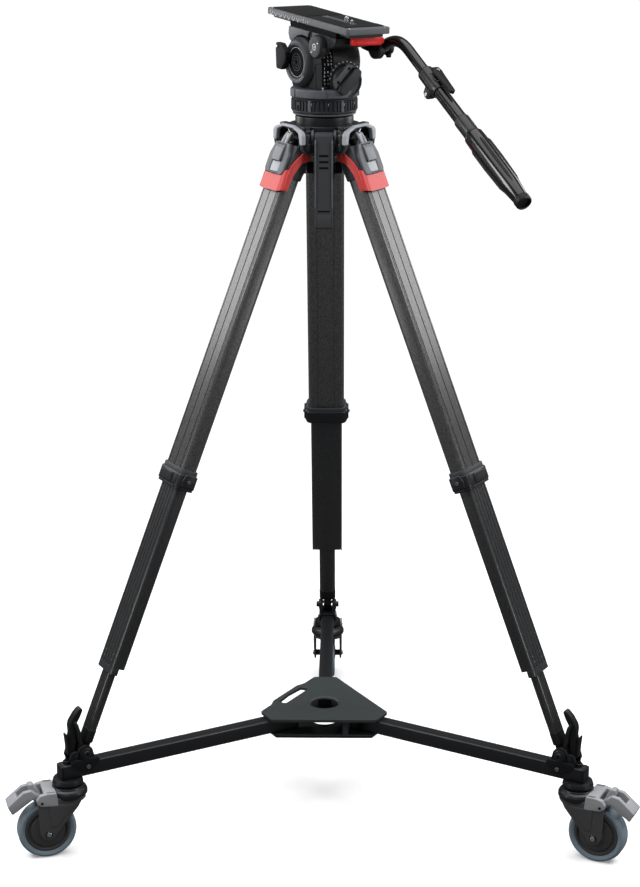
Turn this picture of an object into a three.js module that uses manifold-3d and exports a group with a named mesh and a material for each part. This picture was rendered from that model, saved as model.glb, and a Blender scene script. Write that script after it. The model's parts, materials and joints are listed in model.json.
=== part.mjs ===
// Video tripod with fluid head on a folding caster dolly. Millimetres, Z up, floor at z = 0.
// The operator's side (pan bar) is +X, the rear leg points to +Y.
import * as THREE from "three";
import { mergeVertices } from "three/addons/utils/BufferGeometryUtils.js";
import Module from "manifold-3d";

const wasm = await Module();
wasm.setup();

// ---- driving dimensions ----
const AXIS_X = 1.4,
  AXIS_Y = -118; // tripod axis, so that the whole object's box is centred on the origin
const GAP = 0.3; // between fixed neighbours
const LEG_ANGLE = { rear: 90, left: 210, right: 330 };
const HINGE_R = 56.4,
  HINGE_Z = 1182,
  FOOT_R = 472,
  FOOT_Z = 182;
const SPREAD = Math.atan2(FOOT_R - HINGE_R, HINGE_Z - FOOT_Z);
const LEG_LEN = Math.hypot(FOOT_R - HINGE_R, HINGE_Z - FOOT_Z);
const UPPER_TOP = 41,
  UPPER_END = 581.6,
  COLLAR_TOP = 573.5,
  COLLAR_END = 599.8;
const MID_TOP = 393,
  MID_END = 938;
const LOW_TOP = 545,
  LOW_END = 1056;
const ARM_W = 25,
  ARM_Z0 = 138.5,
  ARM_Z1 = 163.9,
  ARM_END = 515,
  ARM_IN = 60;
const PLATE_Z0 = 164.2,
  PLATE_Z1 = 170.2,
  BASE_Z0 = 132,
  BASE_Z1 = 138.2;
const CASTER_R = 500,
  WHEEL_R = 50,
  TRAIL = 39;
const CASTER_TRAIL = { rear: 90, left: 197, right: 335 };
const PAN_DEG = -57,
  TILT_DEG = 4.5,
  TILT_Z = 1317;
const PLATE_L = 250,
  PLATE_W = 84,
  PLATE_T = 16;
const BED_TOP = 55.6,
  DIAL_X = 52,
  DIAL_Z = 33,
  KNOB_Y = 12,
  KNOB_Z = 1287;
const BAR_DROP = 33; // pan bar below the horizontal, degrees

const RAD = Math.PI / 180;

// ---- shape helpers ----
function solid(geometry, matrix) {
  let g = geometry.clone();
  g.deleteAttribute("normal");
  g.deleteAttribute("uv");
  if (matrix) g.applyMatrix4(matrix);
  g = mergeVertices(g, 1e-4);
  const idx = g.index.array,
    keep = [];
  for (let i = 0; i < idx.length; i += 3) {
    const a = idx[i],
      b = idx[i + 1],
      c = idx[i + 2];
    if (a !== b && b !== c && a !== c) keep.push(a, b, c);
  }
  const make = (t) =>
    new wasm.Manifold(
      new wasm.Mesh({
        numProp: 3,
        vertProperties: new Float32Array(g.attributes.position.array),
        triVerts: new Uint32Array(t),
      }),
    );
  let m = make(keep);
  if (m.volume() < 0) {
    for (let i = 0; i < keep.length; i += 3)
      [keep[i + 1], keep[i + 2]] = [keep[i + 2], keep[i + 1]];
    m = make(keep);
  }
  return m;
}
const mat = (x = 0, y = 0, z = 0, rx = 0, ry = 0, rz = 0) =>
  new THREE.Matrix4()
    .makeRotationFromEuler(new THREE.Euler(rx * RAD, ry * RAD, rz * RAD, "ZYX"))
    .setPosition(x, y, z);
const put = (m, x, y, z, rx, ry, rz) =>
  m.transform(mat(x, y, z, rx, ry, rz).elements);
const box = (x0, x1, y0, y1, z0, z1) =>
  solid(
    new THREE.BoxGeometry(x1 - x0, y1 - y0, z1 - z0),
    mat((x0 + x1) / 2, (y0 + y1) / 2, (z0 + z1) / 2),
  );
const rod = (r, z0, z1, seg = 20, r1 = r) =>
  solid(
    new THREE.CylinderGeometry(r1, r, z1 - z0, seg),
    mat(0, 0, (z0 + z1) / 2, 90),
  );
// a closed outline turned about Z; points are [r, z]
const turn = (pts, seg = 32) =>
  solid(
    new THREE.LatheGeometry(
      [...pts, pts[0]].map(([r, z]) => new THREE.Vector2(r, z)),
      seg,
    ),
    mat(0, 0, 0, 90),
  );
const shapeOf = (pts) => new THREE.Shape(pts.map(([x, y]) => new THREE.Vector2(x, y)));
// an outline in XY raised along Z
const prism = (pts, z0, z1) =>
  solid(
    new THREE.ExtrudeGeometry(shapeOf(pts), { depth: z1 - z0, bevelEnabled: false }),
    mat(0, 0, z0),
  );
// an outline in XZ spread along Y
const slabY = (pts, y0, y1) =>
  solid(
    new THREE.ExtrudeGeometry(shapeOf(pts), { depth: y1 - y0, bevelEnabled: false }),
    mat(0, y1, 0, 90),
  );
// an outline in YZ spread along X
const slabX = (pts, x0, x1) => {
  const s = solid(
    new THREE.ExtrudeGeometry(shapeOf(pts), { depth: x1 - x0, bevelEnabled: false }),
  );
  const m = new THREE.Matrix4().makeBasis(
    new THREE.Vector3(0, 1, 0),
    new THREE.Vector3(0, 0, 1),
    new THREE.Vector3(1, 0, 0),
  );
  m.setPosition(x0, 0, 0);
  return s.transform(m.elements);
};
const arc = (cx, cy, r, a0, a1, n) =>
  Array.from({ length: n + 1 }, (_, i) => {
    const a = (a0 + ((a1 - a0) * i) / n) * RAD;
    return [cx + r * Math.cos(a), cy + r * Math.sin(a)];
  });
const stadium = (hw, hh, n = 6) => [
  ...arc(hw - hh, 0, hh, -90, 90, n),
  ...arc(-(hw - hh), 0, hh, 90, 270, n),
];
const roundRect = (hw, hh, r, n = 3) => [
  ...arc(hw - r, -(hh - r), r, -90, 0, n),
  ...arc(hw - r, hh - r, r, 0, 90, n),
  ...arc(-(hw - r), hh - r, r, 90, 180, n),
  ...arc(-(hw - r), -(hh - r), r, 180, 270, n),
];
// a straight round bar from p to q
function bar(p, q, r, seg = 16, r1 = r) {
  const a = new THREE.Vector3(...p),
    b = new THREE.Vector3(...q),
    d = b.clone().sub(a),
    h = d.length();
  const m = new THREE.Matrix4()
    .makeRotationFromQuaternion(
      new THREE.Quaternion().setFromUnitVectors(new THREE.Vector3(0, 1, 0), d.normalize()),
    )
    .setPosition(a.add(b).multiplyScalar(0.5));
  return solid(new THREE.CylinderGeometry(r1, r, h, seg), m);
}
const join = (...m) => m.reduce((a, b) => a.add(b));
const cut = (a, ...m) => m.reduce((x, b) => x.subtract(b), a);

function mesh(parent, name, m, color) {
  const d = m.getMesh(),
    n = d.numProp,
    v = new Float32Array(d.numVert * 3);
  for (let i = 0; i < d.numVert; i++) v.set(d.vertProperties.subarray(i * n, i * n + 3), i * 3);
  const g = new THREE.BufferGeometry()
    .setAttribute("position", new THREE.BufferAttribute(v, 3))
    .setIndex(new THREE.BufferAttribute(new Uint32Array(d.triVerts), 1));
  g.computeVertexNormals();
  const o = new THREE.Mesh(g, new THREE.MeshStandardMaterial({ color, flatShading: true }));
  o.name = name;
  parent.add(o);
  return o;
}
function group(parent, name, x = 0, y = 0, z = 0, rx = 0, ry = 0, rz = 0, axis = null) {
  const g = new THREE.Group();
  g.name = name;
  g.applyMatrix4(mat(x, y, z, rx, ry, rz));
  if (axis) g.userData.axis = axis; // the joint's axis in the group's own frame
  parent.add(g);
  return g;
}

const BLACK = 0x1b1c1e,
  SATIN = 0x232527,
  DARK = 0x3a3d40,
  CARBON = 0x4a4a48,
  LIGHT = 0xa6a9ac,
  RED = 0xe0524a,
  PLATE = 0x3b4140,
  TYRE = 0x5d666e,
  STEEL = 0xc4c7ca;

const root = new THREE.Group();
root.name = "tripod_on_dolly";
const world = group(root, "axis_frame", AXIS_X, AXIS_Y, 0);

// ================= dolly =================
const dolly = group(world, "dolly");

// Truncated triangle: sides at distance s, corners cut at c, pointing at the arms.
function triOutline(s, c) {
  const pts = [];
  for (const a of [90, 210, 330]) {
    const w = (2 * s - c) / Math.sqrt(3); // half width of the cut corner
    const ca = Math.cos(a * RAD),
      sa = Math.sin(a * RAD);
    pts.push([c * ca + w * sa, c * sa - w * ca], [c * ca - w * sa, c * sa + w * ca]);
  }
  return pts;
}
{
  const out = triOutline(77.5, 119);
  let top = prism(out, PLATE_Z0, PLATE_Z1);
  // the edge beside the hand slot bulges outwards (side facing 150 degrees)
  const bulge = put(
    prism(
      [
        [70, -52],
        [84, -40],
        [84, 40],
        [70, 52],
      ],
      PLATE_Z0,
      PLATE_Z1,
    ),
    0, 0, 0, 0, 0, 150,
  );
  const slot = put(
    prism(
      [
        [58, -39],
        [74, -39],
        [76, 0],
        [74, 39],
        [58, 39],
      ],
      PLATE_Z0 - 5,
      PLATE_Z1 + 5,
    ),
    0, 0, 0, 0, 0, 150,
  );
  const hole = turn([[0, 150], [25, 150], [25, PLATE_Z1 - 2.5], [28, PLATE_Z1 + 0.5], [28, 180], [0, 180]], 28);
  top = cut(join(top, bulge), slot, hole);
  mesh(dolly, "dolly_top_plate", top, PLATE);

  let base = prism(triOutline(72, 110), BASE_Z0, BASE_Z1);
  const posts = [
    [61, 75],
    [191, 79],
    [301, 75],
  ].map(([a, r]) => put(rod(6, BASE_Z1 - 1, PLATE_Z0 - GAP, 12), r * Math.cos(a * RAD), r * Math.sin(a * RAD), 0));
  base = cut(join(base, ...posts), rod(25, 120, 150, 28));
  // arm pivots: a short boss under each arm's bolt
  mesh(dolly, "dolly_bottom_plate", base, SATIN);
}

function dollyArm(side) {
  const A = LEG_ANGLE[side];
  const g = group(dolly, "arm_frame_" + side, 0, 0, 0, 0, 0, A);
  // --- square tube with the swivel socket at its end
  let arm = prism(
    [
      [ARM_IN, -ARM_W / 2],
      [ARM_END - 6, -ARM_W / 2],
      [ARM_END, -ARM_W / 2 + 6],
      [ARM_END, ARM_W / 2 - 6],
      [ARM_END - 6, ARM_W / 2],
      [ARM_IN, ARM_W / 2],
    ],
    ARM_Z0,
    ARM_Z1,
  );
  arm = cut(arm, box(ARM_IN - 1, CASTER_R - 30, -ARM_W / 2 + 2, ARM_W / 2 - 2, ARM_Z0 + 2, ARM_Z1 - 2));
  const socket = cut(
    put(rod(22, 127, ARM_Z0 + 1, 20), CASTER_R, 0, 0),
    put(rod(6.6, 100, 156, 12), CASTER_R, 0, 0),
  );
  arm = cut(join(arm, socket), put(rod(6.6, 100, 156, 12), CASTER_R, 0, 0));
  mesh(g, "dolly_arm_" + side, arm, SATIN);

  // --- foot clamp: a saddle over the arm with two ears beside the foot
  const P = FOOT_R,
    Z = FOOT_Z;
  const ear = [
    [P - 18, ARM_Z1 + GAP],
    [P + 16, ARM_Z1 + GAP],
    [P + 16, 176],
    [P + 13, 188],
    [P + 7, 194.5],
    [P, 196.5],
    [P - 7, 194.5],
    [P - 13, 188],
    [P - 16, 176],
  ];
  const skirt = [
    [P - 9, 147],
    [P + 2, 147],
    [P + 26, 164],
    [P + 24, 172],
    [P - 22, 172],
    [P - 26, 165],
  ];
  const cheeks = [-1, 1].map((s) =>
    join(
      slabY(ear, s > 0 ? 9.5 : -15.5, s > 0 ? 15.5 : -9.5),
      slabY(skirt, s > 0 ? 12.5 + GAP : -16.5, s > 0 ? 16.5 : -12.5 - GAP),
    ),
  );
  const bridge = box(P + 14, P + 25, -15, 15, ARM_Z1 + GAP, 168);
  const bridge2 = box(P - 21, P - 15, -15, 15, ARM_Z1 + GAP, 167.5);
  let clamp = join(cheeks[0], cheeks[1], bridge, bridge2);
  // lever pivot lugs beyond the ears
  const lugP = [P + 18, 180];
  const lug = [
    [P + 8, 168],
    [P + 25, 168],
    [P + 28, 176],
    [P + 25, 186],
    [P + 17, 188],
    [P + 8, 184],
  ];
  clamp = join(clamp, slabY(lug, 9.5, 15.5), slabY(lug, -15.5, -9.5));
  mesh(g, "foot_clamp_" + side, clamp, BLACK);

  // --- clamp lever: a tall bowed toggle, turning about a pin between the lugs
  const lv = group(g, "j_clamp_lever_" + side, lugP[0], 0, lugP[1], 0, 0, 0, [0, 1, 0]);
  const lever = [
    [-4, -6],
    [4, -6],
    [7, 4],
    [7, 30],
    [5, 40],
    [6, 52],
    [4, 60],
    [-4, 72],
    [-12, 80],
    [-17, 82],
    [-19, 77],
    [-14, 66],
    [-8, 56],
    [-9, 40],
    [-9, 24],
    [-4.5, 6],
    [-4, 0],
  ];
  mesh(lv, "clamp_lever_" + side, join(slabY(lever, -7.5, 7.5), put(rod(3, -9.2, 9.2, 10), 0, 0, 0, 90)), BLACK);

  // --- caster
  const fk = group(g, "j_swivel_" + side, CASTER_R, 0, 0, 0, 0, CASTER_TRAIL[side] - A, [0, 0, 1]);
  const W = 28; // half width outside
  let fork = join(
    rod(31, 112, 126.4, 22),
    rod(6, 126, 155, 12),
    box(-12, TRAIL + 6, -W, W, 104, 113),
  );
  const cheek = [
    [-20, 113],
    [-12, 96],
    [TRAIL - 12, 44],
    [TRAIL, 38],
    [TRAIL + 11, 44],
    [TRAIL + 15, 70],
    [TRAIL + 16, 104],
    [TRAIL + 14, 113],
  ];
  fork = join(fork, slabY(cheek, -W, -W + 4), slabY(cheek, W - 4, W));
  // brake housing beside the swivel cup
  fork = join(fork, box(14, TRAIL + 5, -19, 19, 112.5, 121));
  fork = cut(fork, put(rod(2.8, -40, 40, 8), TRAIL + 10, 0, 108.5, 90));
  fork = join(fork, put(rod(5.95, -W + 1, W - 1, 12), TRAIL, 0, WHEEL_R, 90));
  mesh(fk, "caster_fork_" + side, fork, BLACK);
  const wh = group(fk, "j_wheel_" + side, TRAIL, 0, WHEEL_R, 0, 0, 0, [0, 1, 0]);
  const wheelTurn = (pts, seg) => put(turn(pts, seg), 0, 0, 0, 90);
  mesh(
    wh,
    "wheel_hub_" + side,
    wheelTurn(
      [
        [6.4, -16],
        [13, -16],
        [14, -10],
        [31, -10],
        [33, -13.5],
        [38, -13.5],
        [38, 13.5],
        [33, 13.5],
        [31, 10],
        [14, 10],
        [13, 16],
        [6.4, 16],
      ],
      20,
    ),
    BLACK,
  );
  mesh(
    wh,
    "tyre_" + side,
    wheelTurn(
      [
        [38.5, -13],
        [46, -14.5],
        [WHEEL_R, -7],
        [WHEEL_R, 7],
        [46, 14.5],
        [38.5, 13],
      ],
      28,
    ),
    TYRE,
  );
  // brake pedal over the wheel, beyond the fork
  const pd = group(fk, "j_pedal_" + side, TRAIL + 10, 0, 108.5, 0, 0, 0, [0, 1, 0]);
  const tread = [
    [6, -1],
    [14, 3],
    [49, -21],
    [57, -5],
    [29, 18],
    [16, 20],
    [6, 10],
  ];
  const foot = [
    [-3, -3.5],
    [8, -3.5],
    [16, 4],
    [16, 20],
    [6, 12],
    [-3, 3.5],
  ];
  const heel = [
    [6, 8],
    [20, 16],
    [20, 27],
    [12, 27.5],
    [3, 14],
  ];
  const pedal = join(
    cut(slabY(tread, -18, 18), put(box(10, 30, -9, 9, -40, 40), 14, 0, 10, 0, 34.4, 0)),
    slabY(foot, -17, 17),
    slabY(heel, -8, 8),
    put(rod(2.4, -27, 27, 8), 0, 0, 0, 90),
  );
  mesh(pd, "brake_pedal_" + side, pedal, LIGHT);
}
["rear", "left", "right"].forEach(dollyArm);

// ================= tripod crown =================
const crown = group(world, "j_height", 0, 0, 0, 0, 0, 0, [0, 0, 1]);
{
  // bowl with a spherical seat, drilled for the tie-down stem
  let bowl = turn(
    [
      [17, 1166],
      [30, 1167],
      [40, 1177],
      [44.5, 1189],
      [52, 1200],
      [60, 1203],
      [60, 1214],
      [50, 1214],
      [40, 1190],
      [29, 1180],
      [17, 1174],
    ],
    28,
  );
  const ears = [];
  for (const A of [90, 210, 330]) {
    for (const s of [-1, 1]) {
      // ear plate beside the leg's hinge, arched on top
      const ear = slabY(
        [
          [34, 1182],
          [48, 1171],
          [63, 1171],
          [68, 1178],
          [70, 1190],
          [70, 1204],
          [64, 1212],
          [52, 1214],
        ],
        s > 0 ? 40.6 : -50,
        s > 0 ? 50 : -40.6,
      );
      ears.push(put(ear, 0, 0, 0, 0, 0, A));
    }
    // bridge over the hinge
    ears.push(put(slabY([[50, 1207.5], [70, 1204.5], [70, 1209], [64, 1214.5], [50, 1216]], -42, 42), 0, 0, 0, 0, 0, A));
    // web from the ears to the body between two legs
    ears.push(
      put(
        prism(
          [
            [38, -20],
            [58, -15],
            [58, 15],
            [38, 20],
          ],
          1168,
          1208,
        ),
        0, 0, 0, 0, 0, A + 180,
      ),
    );
  }
  let c = join(bowl, ...ears);
  c = cut(
    c,
    turn([[0, 1160], [17, 1160], [17, 1174], [29, 1180], [40, 1190], [50, 1214], [50, 1230], [0, 1230]], 28),
  );
  // hinge bores through the ears
  for (const A of [90, 210, 330]) c = cut(c, put(rod(5.6, -52, 52, 10), HINGE_R * Math.cos(A * RAD), HINGE_R * Math.sin(A * RAD), HINGE_Z, 90, 0, A));
  // room for the carrying handle between the front ears
  c = cut(c, box(-16.5, 16.5, -90, -60.5, 1150, 1230));
  // lugs for the carrying handle, on the front
  c = join(c, box(-10, 10, -61, -54, 1190, 1208));
  for (const s of [-1, 1]) c = join(c, box(s > 0 ? 15.7 : -20, s > 0 ? 20 : -15.7, -74, -54, 1196, 1209));
  c = cut(c, put(rod(2.8, -30, 30, 8), 0, -68.5, 1203, 0, 90, 0));
  mesh(crown, "crown", c, DARK);
}
{
  // tie-down knob under the bowl
  const g = group(crown, "j_tie_down", 0, 0, 0, 0, 0, 0, [0, 0, 1]);
  let knob = turn([[0, 1096], [9, 1096], [15, 1100], [16, 1118], [24, 1130], [30, 1138], [30, 1148], [22, 1160], [8, 1162.6], [0, 1162.6]], 12);
  mesh(g, "tie_down_knob", knob, BLACK);
}
{
  // carrying handle: a long paddle hanging at the front
  const g = group(crown, "j_carry_handle", 0, -68.5, 1203, 0, 0, 0, [-1, 0, 0]);
  let h = slabX(
    [
      [6, -2],
      [6, -122],
      [4, -126],
      [4, -150],
      [0, -154],
      [-8, -154],
      [-8, -40],
      [-6.5, -2],
      [-5, 3],
      [0, 5],
      [4, 3],
    ],
    -15,
    15,
  );
  h = join(h, put(rod(2.4, -19.5, 19.5, 8), 0, 0, 0, 0, 90, 0));
  for (const z of [-33, -43, -53]) h = cut(h, box(-7.5, 7.5, -9, -5, z - 1.6, z + 1.6));
  mesh(g, "carry_handle", h, DARK);
}

function leg(side) {
  const A = LEG_ANGLE[side];
  const yaw = group(crown, "leg_yaw_" + side, 0, 0, 0, 0, 0, A);
  // hinge frame: local -Z runs down the leg, local +X is the outer face
  const hinge = group(yaw, "j_spread_" + side, HINGE_R, 0, HINGE_Z, 0, -SPREAD / RAD, 0, [0, 1, 0]);
  // --- upper stage: hollow profile with two outer grooves, an inner channel and the collar
  const OX = 15,
    OY = 33;
  let up = prism(roundRect(OX, OY, 9, 3), -UPPER_END, -UPPER_TOP);
  up = cut(up, prism(roundRect(12.6, 29.6, 7, 3), -UPPER_END - 1, -UPPER_TOP + 1));
  for (const y of [-22, 0, 22]) up = cut(up, box(OX - 1.2, OX + 2, y - 1.3, y + 1.3, -COLLAR_TOP, -88));
  up = cut(up, box(-OX - 2, -OX + 1.2, -17, 17, -COLLAR_TOP, -88));
  let collar = cut(
    prism(roundRect(19.5, 40, 12, 3), -COLLAR_END, -COLLAR_TOP),
    prism(roundRect(12.4, 29.4, 7, 3), -COLLAR_END - 1, -COLLAR_TOP + 1),
  );
  up = join(up, collar);
  mesh(hinge, "leg_upper_" + side, up, CARBON);

  // --- shoulder casting: hinge barrel, saddle and tongue down the outer face
  const tubeRoom = roundRect(OX + GAP, OY + GAP, 9, 3);
  const barrel = put(rod(8.4, -36.4, 36.4, 14), 0, 0, 0, 90);
  let sh = slabX(
    [
      [-36.4, -6],
      [36.4, -6],
      [36.4, -42],
      [35, -56.5],
      [-35, -56.5],
      [-36.4, -42],
    ],
    -15,
    17,
  );
  sh = join(sh, barrel);
  // the outer face carries a rounded plate down to the band
  const tongue = slabX([[-24, -4], [24, -4], [32, -24], [32, -50], [28, -56.5], [-28, -56.5], [-32, -50], [-32, -24]], 16, 22.5);
  // guide for the brake linkage, rising into the crown
  const guide = box(12, 19, -8, 8, -7, 14);
  sh = join(sh, tongue, guide);
  // lower part lies over the tube: hollow it out
  sh = cut(sh, prism(tubeRoom, -100, -UPPER_TOP + GAP));
  // hinge pin stubs into the crown's ears
  sh = join(sh, put(rod(5.2, -49, 49, 10), 0, 0, 0, 90));
  // recess for the brake lever
  sh = cut(sh, box(17.5, 30, -14.2, 14.2, -43, -4));
  mesh(hinge, "leg_shoulder_" + side, sh, DARK);

  // --- red band below the shoulder, its straps rising to each side of the hinge
  let band = cut(prism(roundRect(20.5, 40, 12, 3), -84, -57), prism(tubeRoom, -101, -40), box(-40, 6, -50, 50, -101, -40));
  const strap = [
    [13, -80],
    [15, -57],
    [15, -39],
    [8.5, -27],
    [-1, -10.5],
    [-8, -6.5],
    [-13, -11],
    [-14, -24],
    [-4, -28.5],
    [0.6, -40],
    [4.5, -53],
    [6.5, -70],
  ];
  band = join(band, slabY(strap, 36.8, 40), slabY(strap, -40, -36.8));
  mesh(hinge, "leg_band_" + side, band, RED);

  // --- brake lever in the shoulder's outer recess
  const bl = group(hinge, "j_leg_brake_" + side, 20.8, 0, -10, 0, 0, 0, [0, -1, 0]);
  mesh(
    bl,
    "leg_brake_lever_" + side,
    slabY(
      [
        [-3, 0],
        [0, 3],
        [3, 2.5],
        [5, -3],
        [5.4, -18],
        [5, -31],
        [2.5, -32],
        [1, -28],
        [-2.6, -6],
      ],
      -13.8,
      13.8,
    ),
    LIGHT,
  );

  // --- middle stage
  const ms = group(hinge, "j_mid_" + side, 0, 0, 0, 0, 0, 0, [0, 0, -1]);
  let mid = prism(roundRect(12.1, 29.1, 6.6, 3), -MID_END, -MID_TOP);
  mid = cut(mid, prism(roundRect(9.9, 26.9, 5, 2), -MID_END - 1, -MID_TOP + 1));
  mid = cut(mid, slabX([[-40, -MID_END - 5], [40, -MID_END - 5], [40, -MID_END + 1], [10, -MID_END + 1], [-10, -MID_END + 12], [-40, -MID_END + 12]], -20, 0));
  // outer ribs
  for (const y of [-20, -10, 0, 10, 20]) mid = cut(mid, box(11.2, 16, y - 1.6, y + 1.6, -MID_END - 1, -MID_TOP + 1));
  mesh(ms, "leg_middle_" + side, mid, CARBON);

  // --- lower stage with guide block and foot tongue
  const ls = group(ms, "j_low_" + side, 0, 0, 0, 0, 0, 0, [0, 0, -1]);
  let low = prism(stadium(15.5, 8, 4).map(([a, b]) => [b, a]), -LOW_END, -LOW_TOP);
  low = cut(low, prism(stadium(13.3, 5.8, 4).map(([a, b]) => [b, a]), -LOW_END + 20, -LOW_TOP + 1));
  // guide block at the top, running in the middle stage
  low = join(
    low,
    cut(
      prism(roundRect(9.5, 26.5, 5, 2), -LOW_TOP - 40, -LOW_TOP - 4),
      prism(stadium(13.3, 5.8, 4).map(([a, b]) => [b, a]), -LOW_TOP - 41, -LOW_TOP + 1),
    ),
  );
  const tongueFoot = slabY(
    [
      [-8, -LOW_END + 2],
      [8, -LOW_END + 2],
      [9, -LEG_LEN + 6],
      ...arc(0, -LEG_LEN, 8.6, 30, -210, 8),
      [-9, -LEG_LEN + 6],
    ],
    -6,
    6,
  );
  low = join(low, tongueFoot);
  mesh(ls, "leg_lower_" + side, low, CARBON);
}
["rear", "left", "right"].forEach(leg);

// ================= fluid head =================
const headBase = group(crown, "head_base_frame");
{
  // half ball, clamped in the bowl
  let b = turn(
    [
      [0, 1163],
      [6, 1163],
      [6, 1168],
      [16, 1170],
      [16, 1175],
      [28.4, 1181],
      [39, 1191],
      [48.6, 1214.6],
      [48.6, 1226],
      [46, 1229.6],
      [52, 1230.6],
      [52, 1233.6],
      [15.6, 1233.6],
      [15.6, 1272],
      [0, 1272],
    ],
    28,
  );
  mesh(headBase, "half_ball_base", b, BLACK);
}
{
  const g = group(headBase, "j_drag_ring", 0, 0, 0, 0, 0, 0, [0, 0, 1]);
  let ring = turn(
    [
      [16.3, 1234],
      [53, 1234],
      [55.5, 1237],
      [55.5, 1256],
      [53, 1258.6],
      [16.3, 1258.6],
    ],
    32,
  );
  for (let i = 0; i < 8; i++) ring = cut(ring, put(box(54, 58, -2.5, 2.5, 1238, 1255), 0, 0, 0, 0, 0, i * 45 + 5.6));
  mesh(g, "pan_drag_ring", ring, SATIN);
}
const pan = group(headBase, "j_pan", 0, 0, 0, 0, 0, PAN_DEG, [0, 0, 1]);
{
  // flange and body under the drum: two cheeks carry the tilt axis
  let f = turn(
    [
      [16.3, 1259],
      [55, 1259],
      [56.7, 1261],
      [56.7, 1272],
      [54, 1275],
      [0, 1275],
      [0, 1272.6],
      [16.3, 1272.6],
    ],
    32,
  );
  f = cut(f, put(rod(28.8, 46.6, 80, 24), 0, KNOB_Y, KNOB_Z, 0, 90));
  // lower housing
  const housing = slabX(
    [
      [-42, 1274],
      [42, 1274],
      [44, 1290],
      [44, 1317],
      [-44, 1317],
      [-44, 1290],
    ],
    -34,
    40,
  );
  const drum = put(rod(41, -44, 44, 28), 0, 0, TILT_Z, 90);
  let b = join(f, housing, drum);
  // operator's face with the selector boss
  b = join(b, slabX([[-14, 1272], [30, 1272], [36, 1280], [36, 1302], [28, 1311], [-8, 1311], [-18, 1301], [-18, 1276]], 38, 47));
  // cap face on the side of the tilt brake
  const capR = turn([[0, 0], [40, 0], [40, 4], [36, 11], [26, 12], [25, 10.6], [0, 10.6]], 28);
  b = join(b, put(capR, 0, -43.5, TILT_Z, 90, 0, 0));
  mesh(pan, "pan_body", b, DARK);

  // counterbalance selector on the rear face
  const k = group(pan, "j_counterbalance", 47.3, KNOB_Y, KNOB_Z, 0, 90, 0, [0, 0, 1]);
  let knob = join(
    rod(28, 0, 8, 24, 26),
    put(
      prism(
        [
          [-27, -4],
          [-20, -9],
          [20, -9],
          [27, -4],
          [27, 4],
          [20, 9],
          [-20, 9],
          [-27, 4],
        ],
        7,
        15,
      ),
      0, 0, 0, 0, 0, -45,
    ),
  );
  knob = cut(knob, rod(3, -1, 1, 8));
  mesh(k, "counterbalance_knob", knob, DARK);

  // tilt brake paddle at the front of the cap side
  const tb = group(pan, "j_tilt_brake", -19, -61.2, TILT_Z + 8, 0, 0, 0, [0, 1, 0]);
  mesh(
    tb,
    "tilt_brake_lever",
    join(
      put(rod(4.2, -6.8, 4.5, 14), 0, 0, 0, 90),
      slabY([[-27, -21], [-10, -22], [3, -8], [4, 8], [-10, 21], [-26, 22], [-29, 18]], -5, 5),
    ),
    SATIN,
  );
  // second selector on the cap side
}
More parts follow.
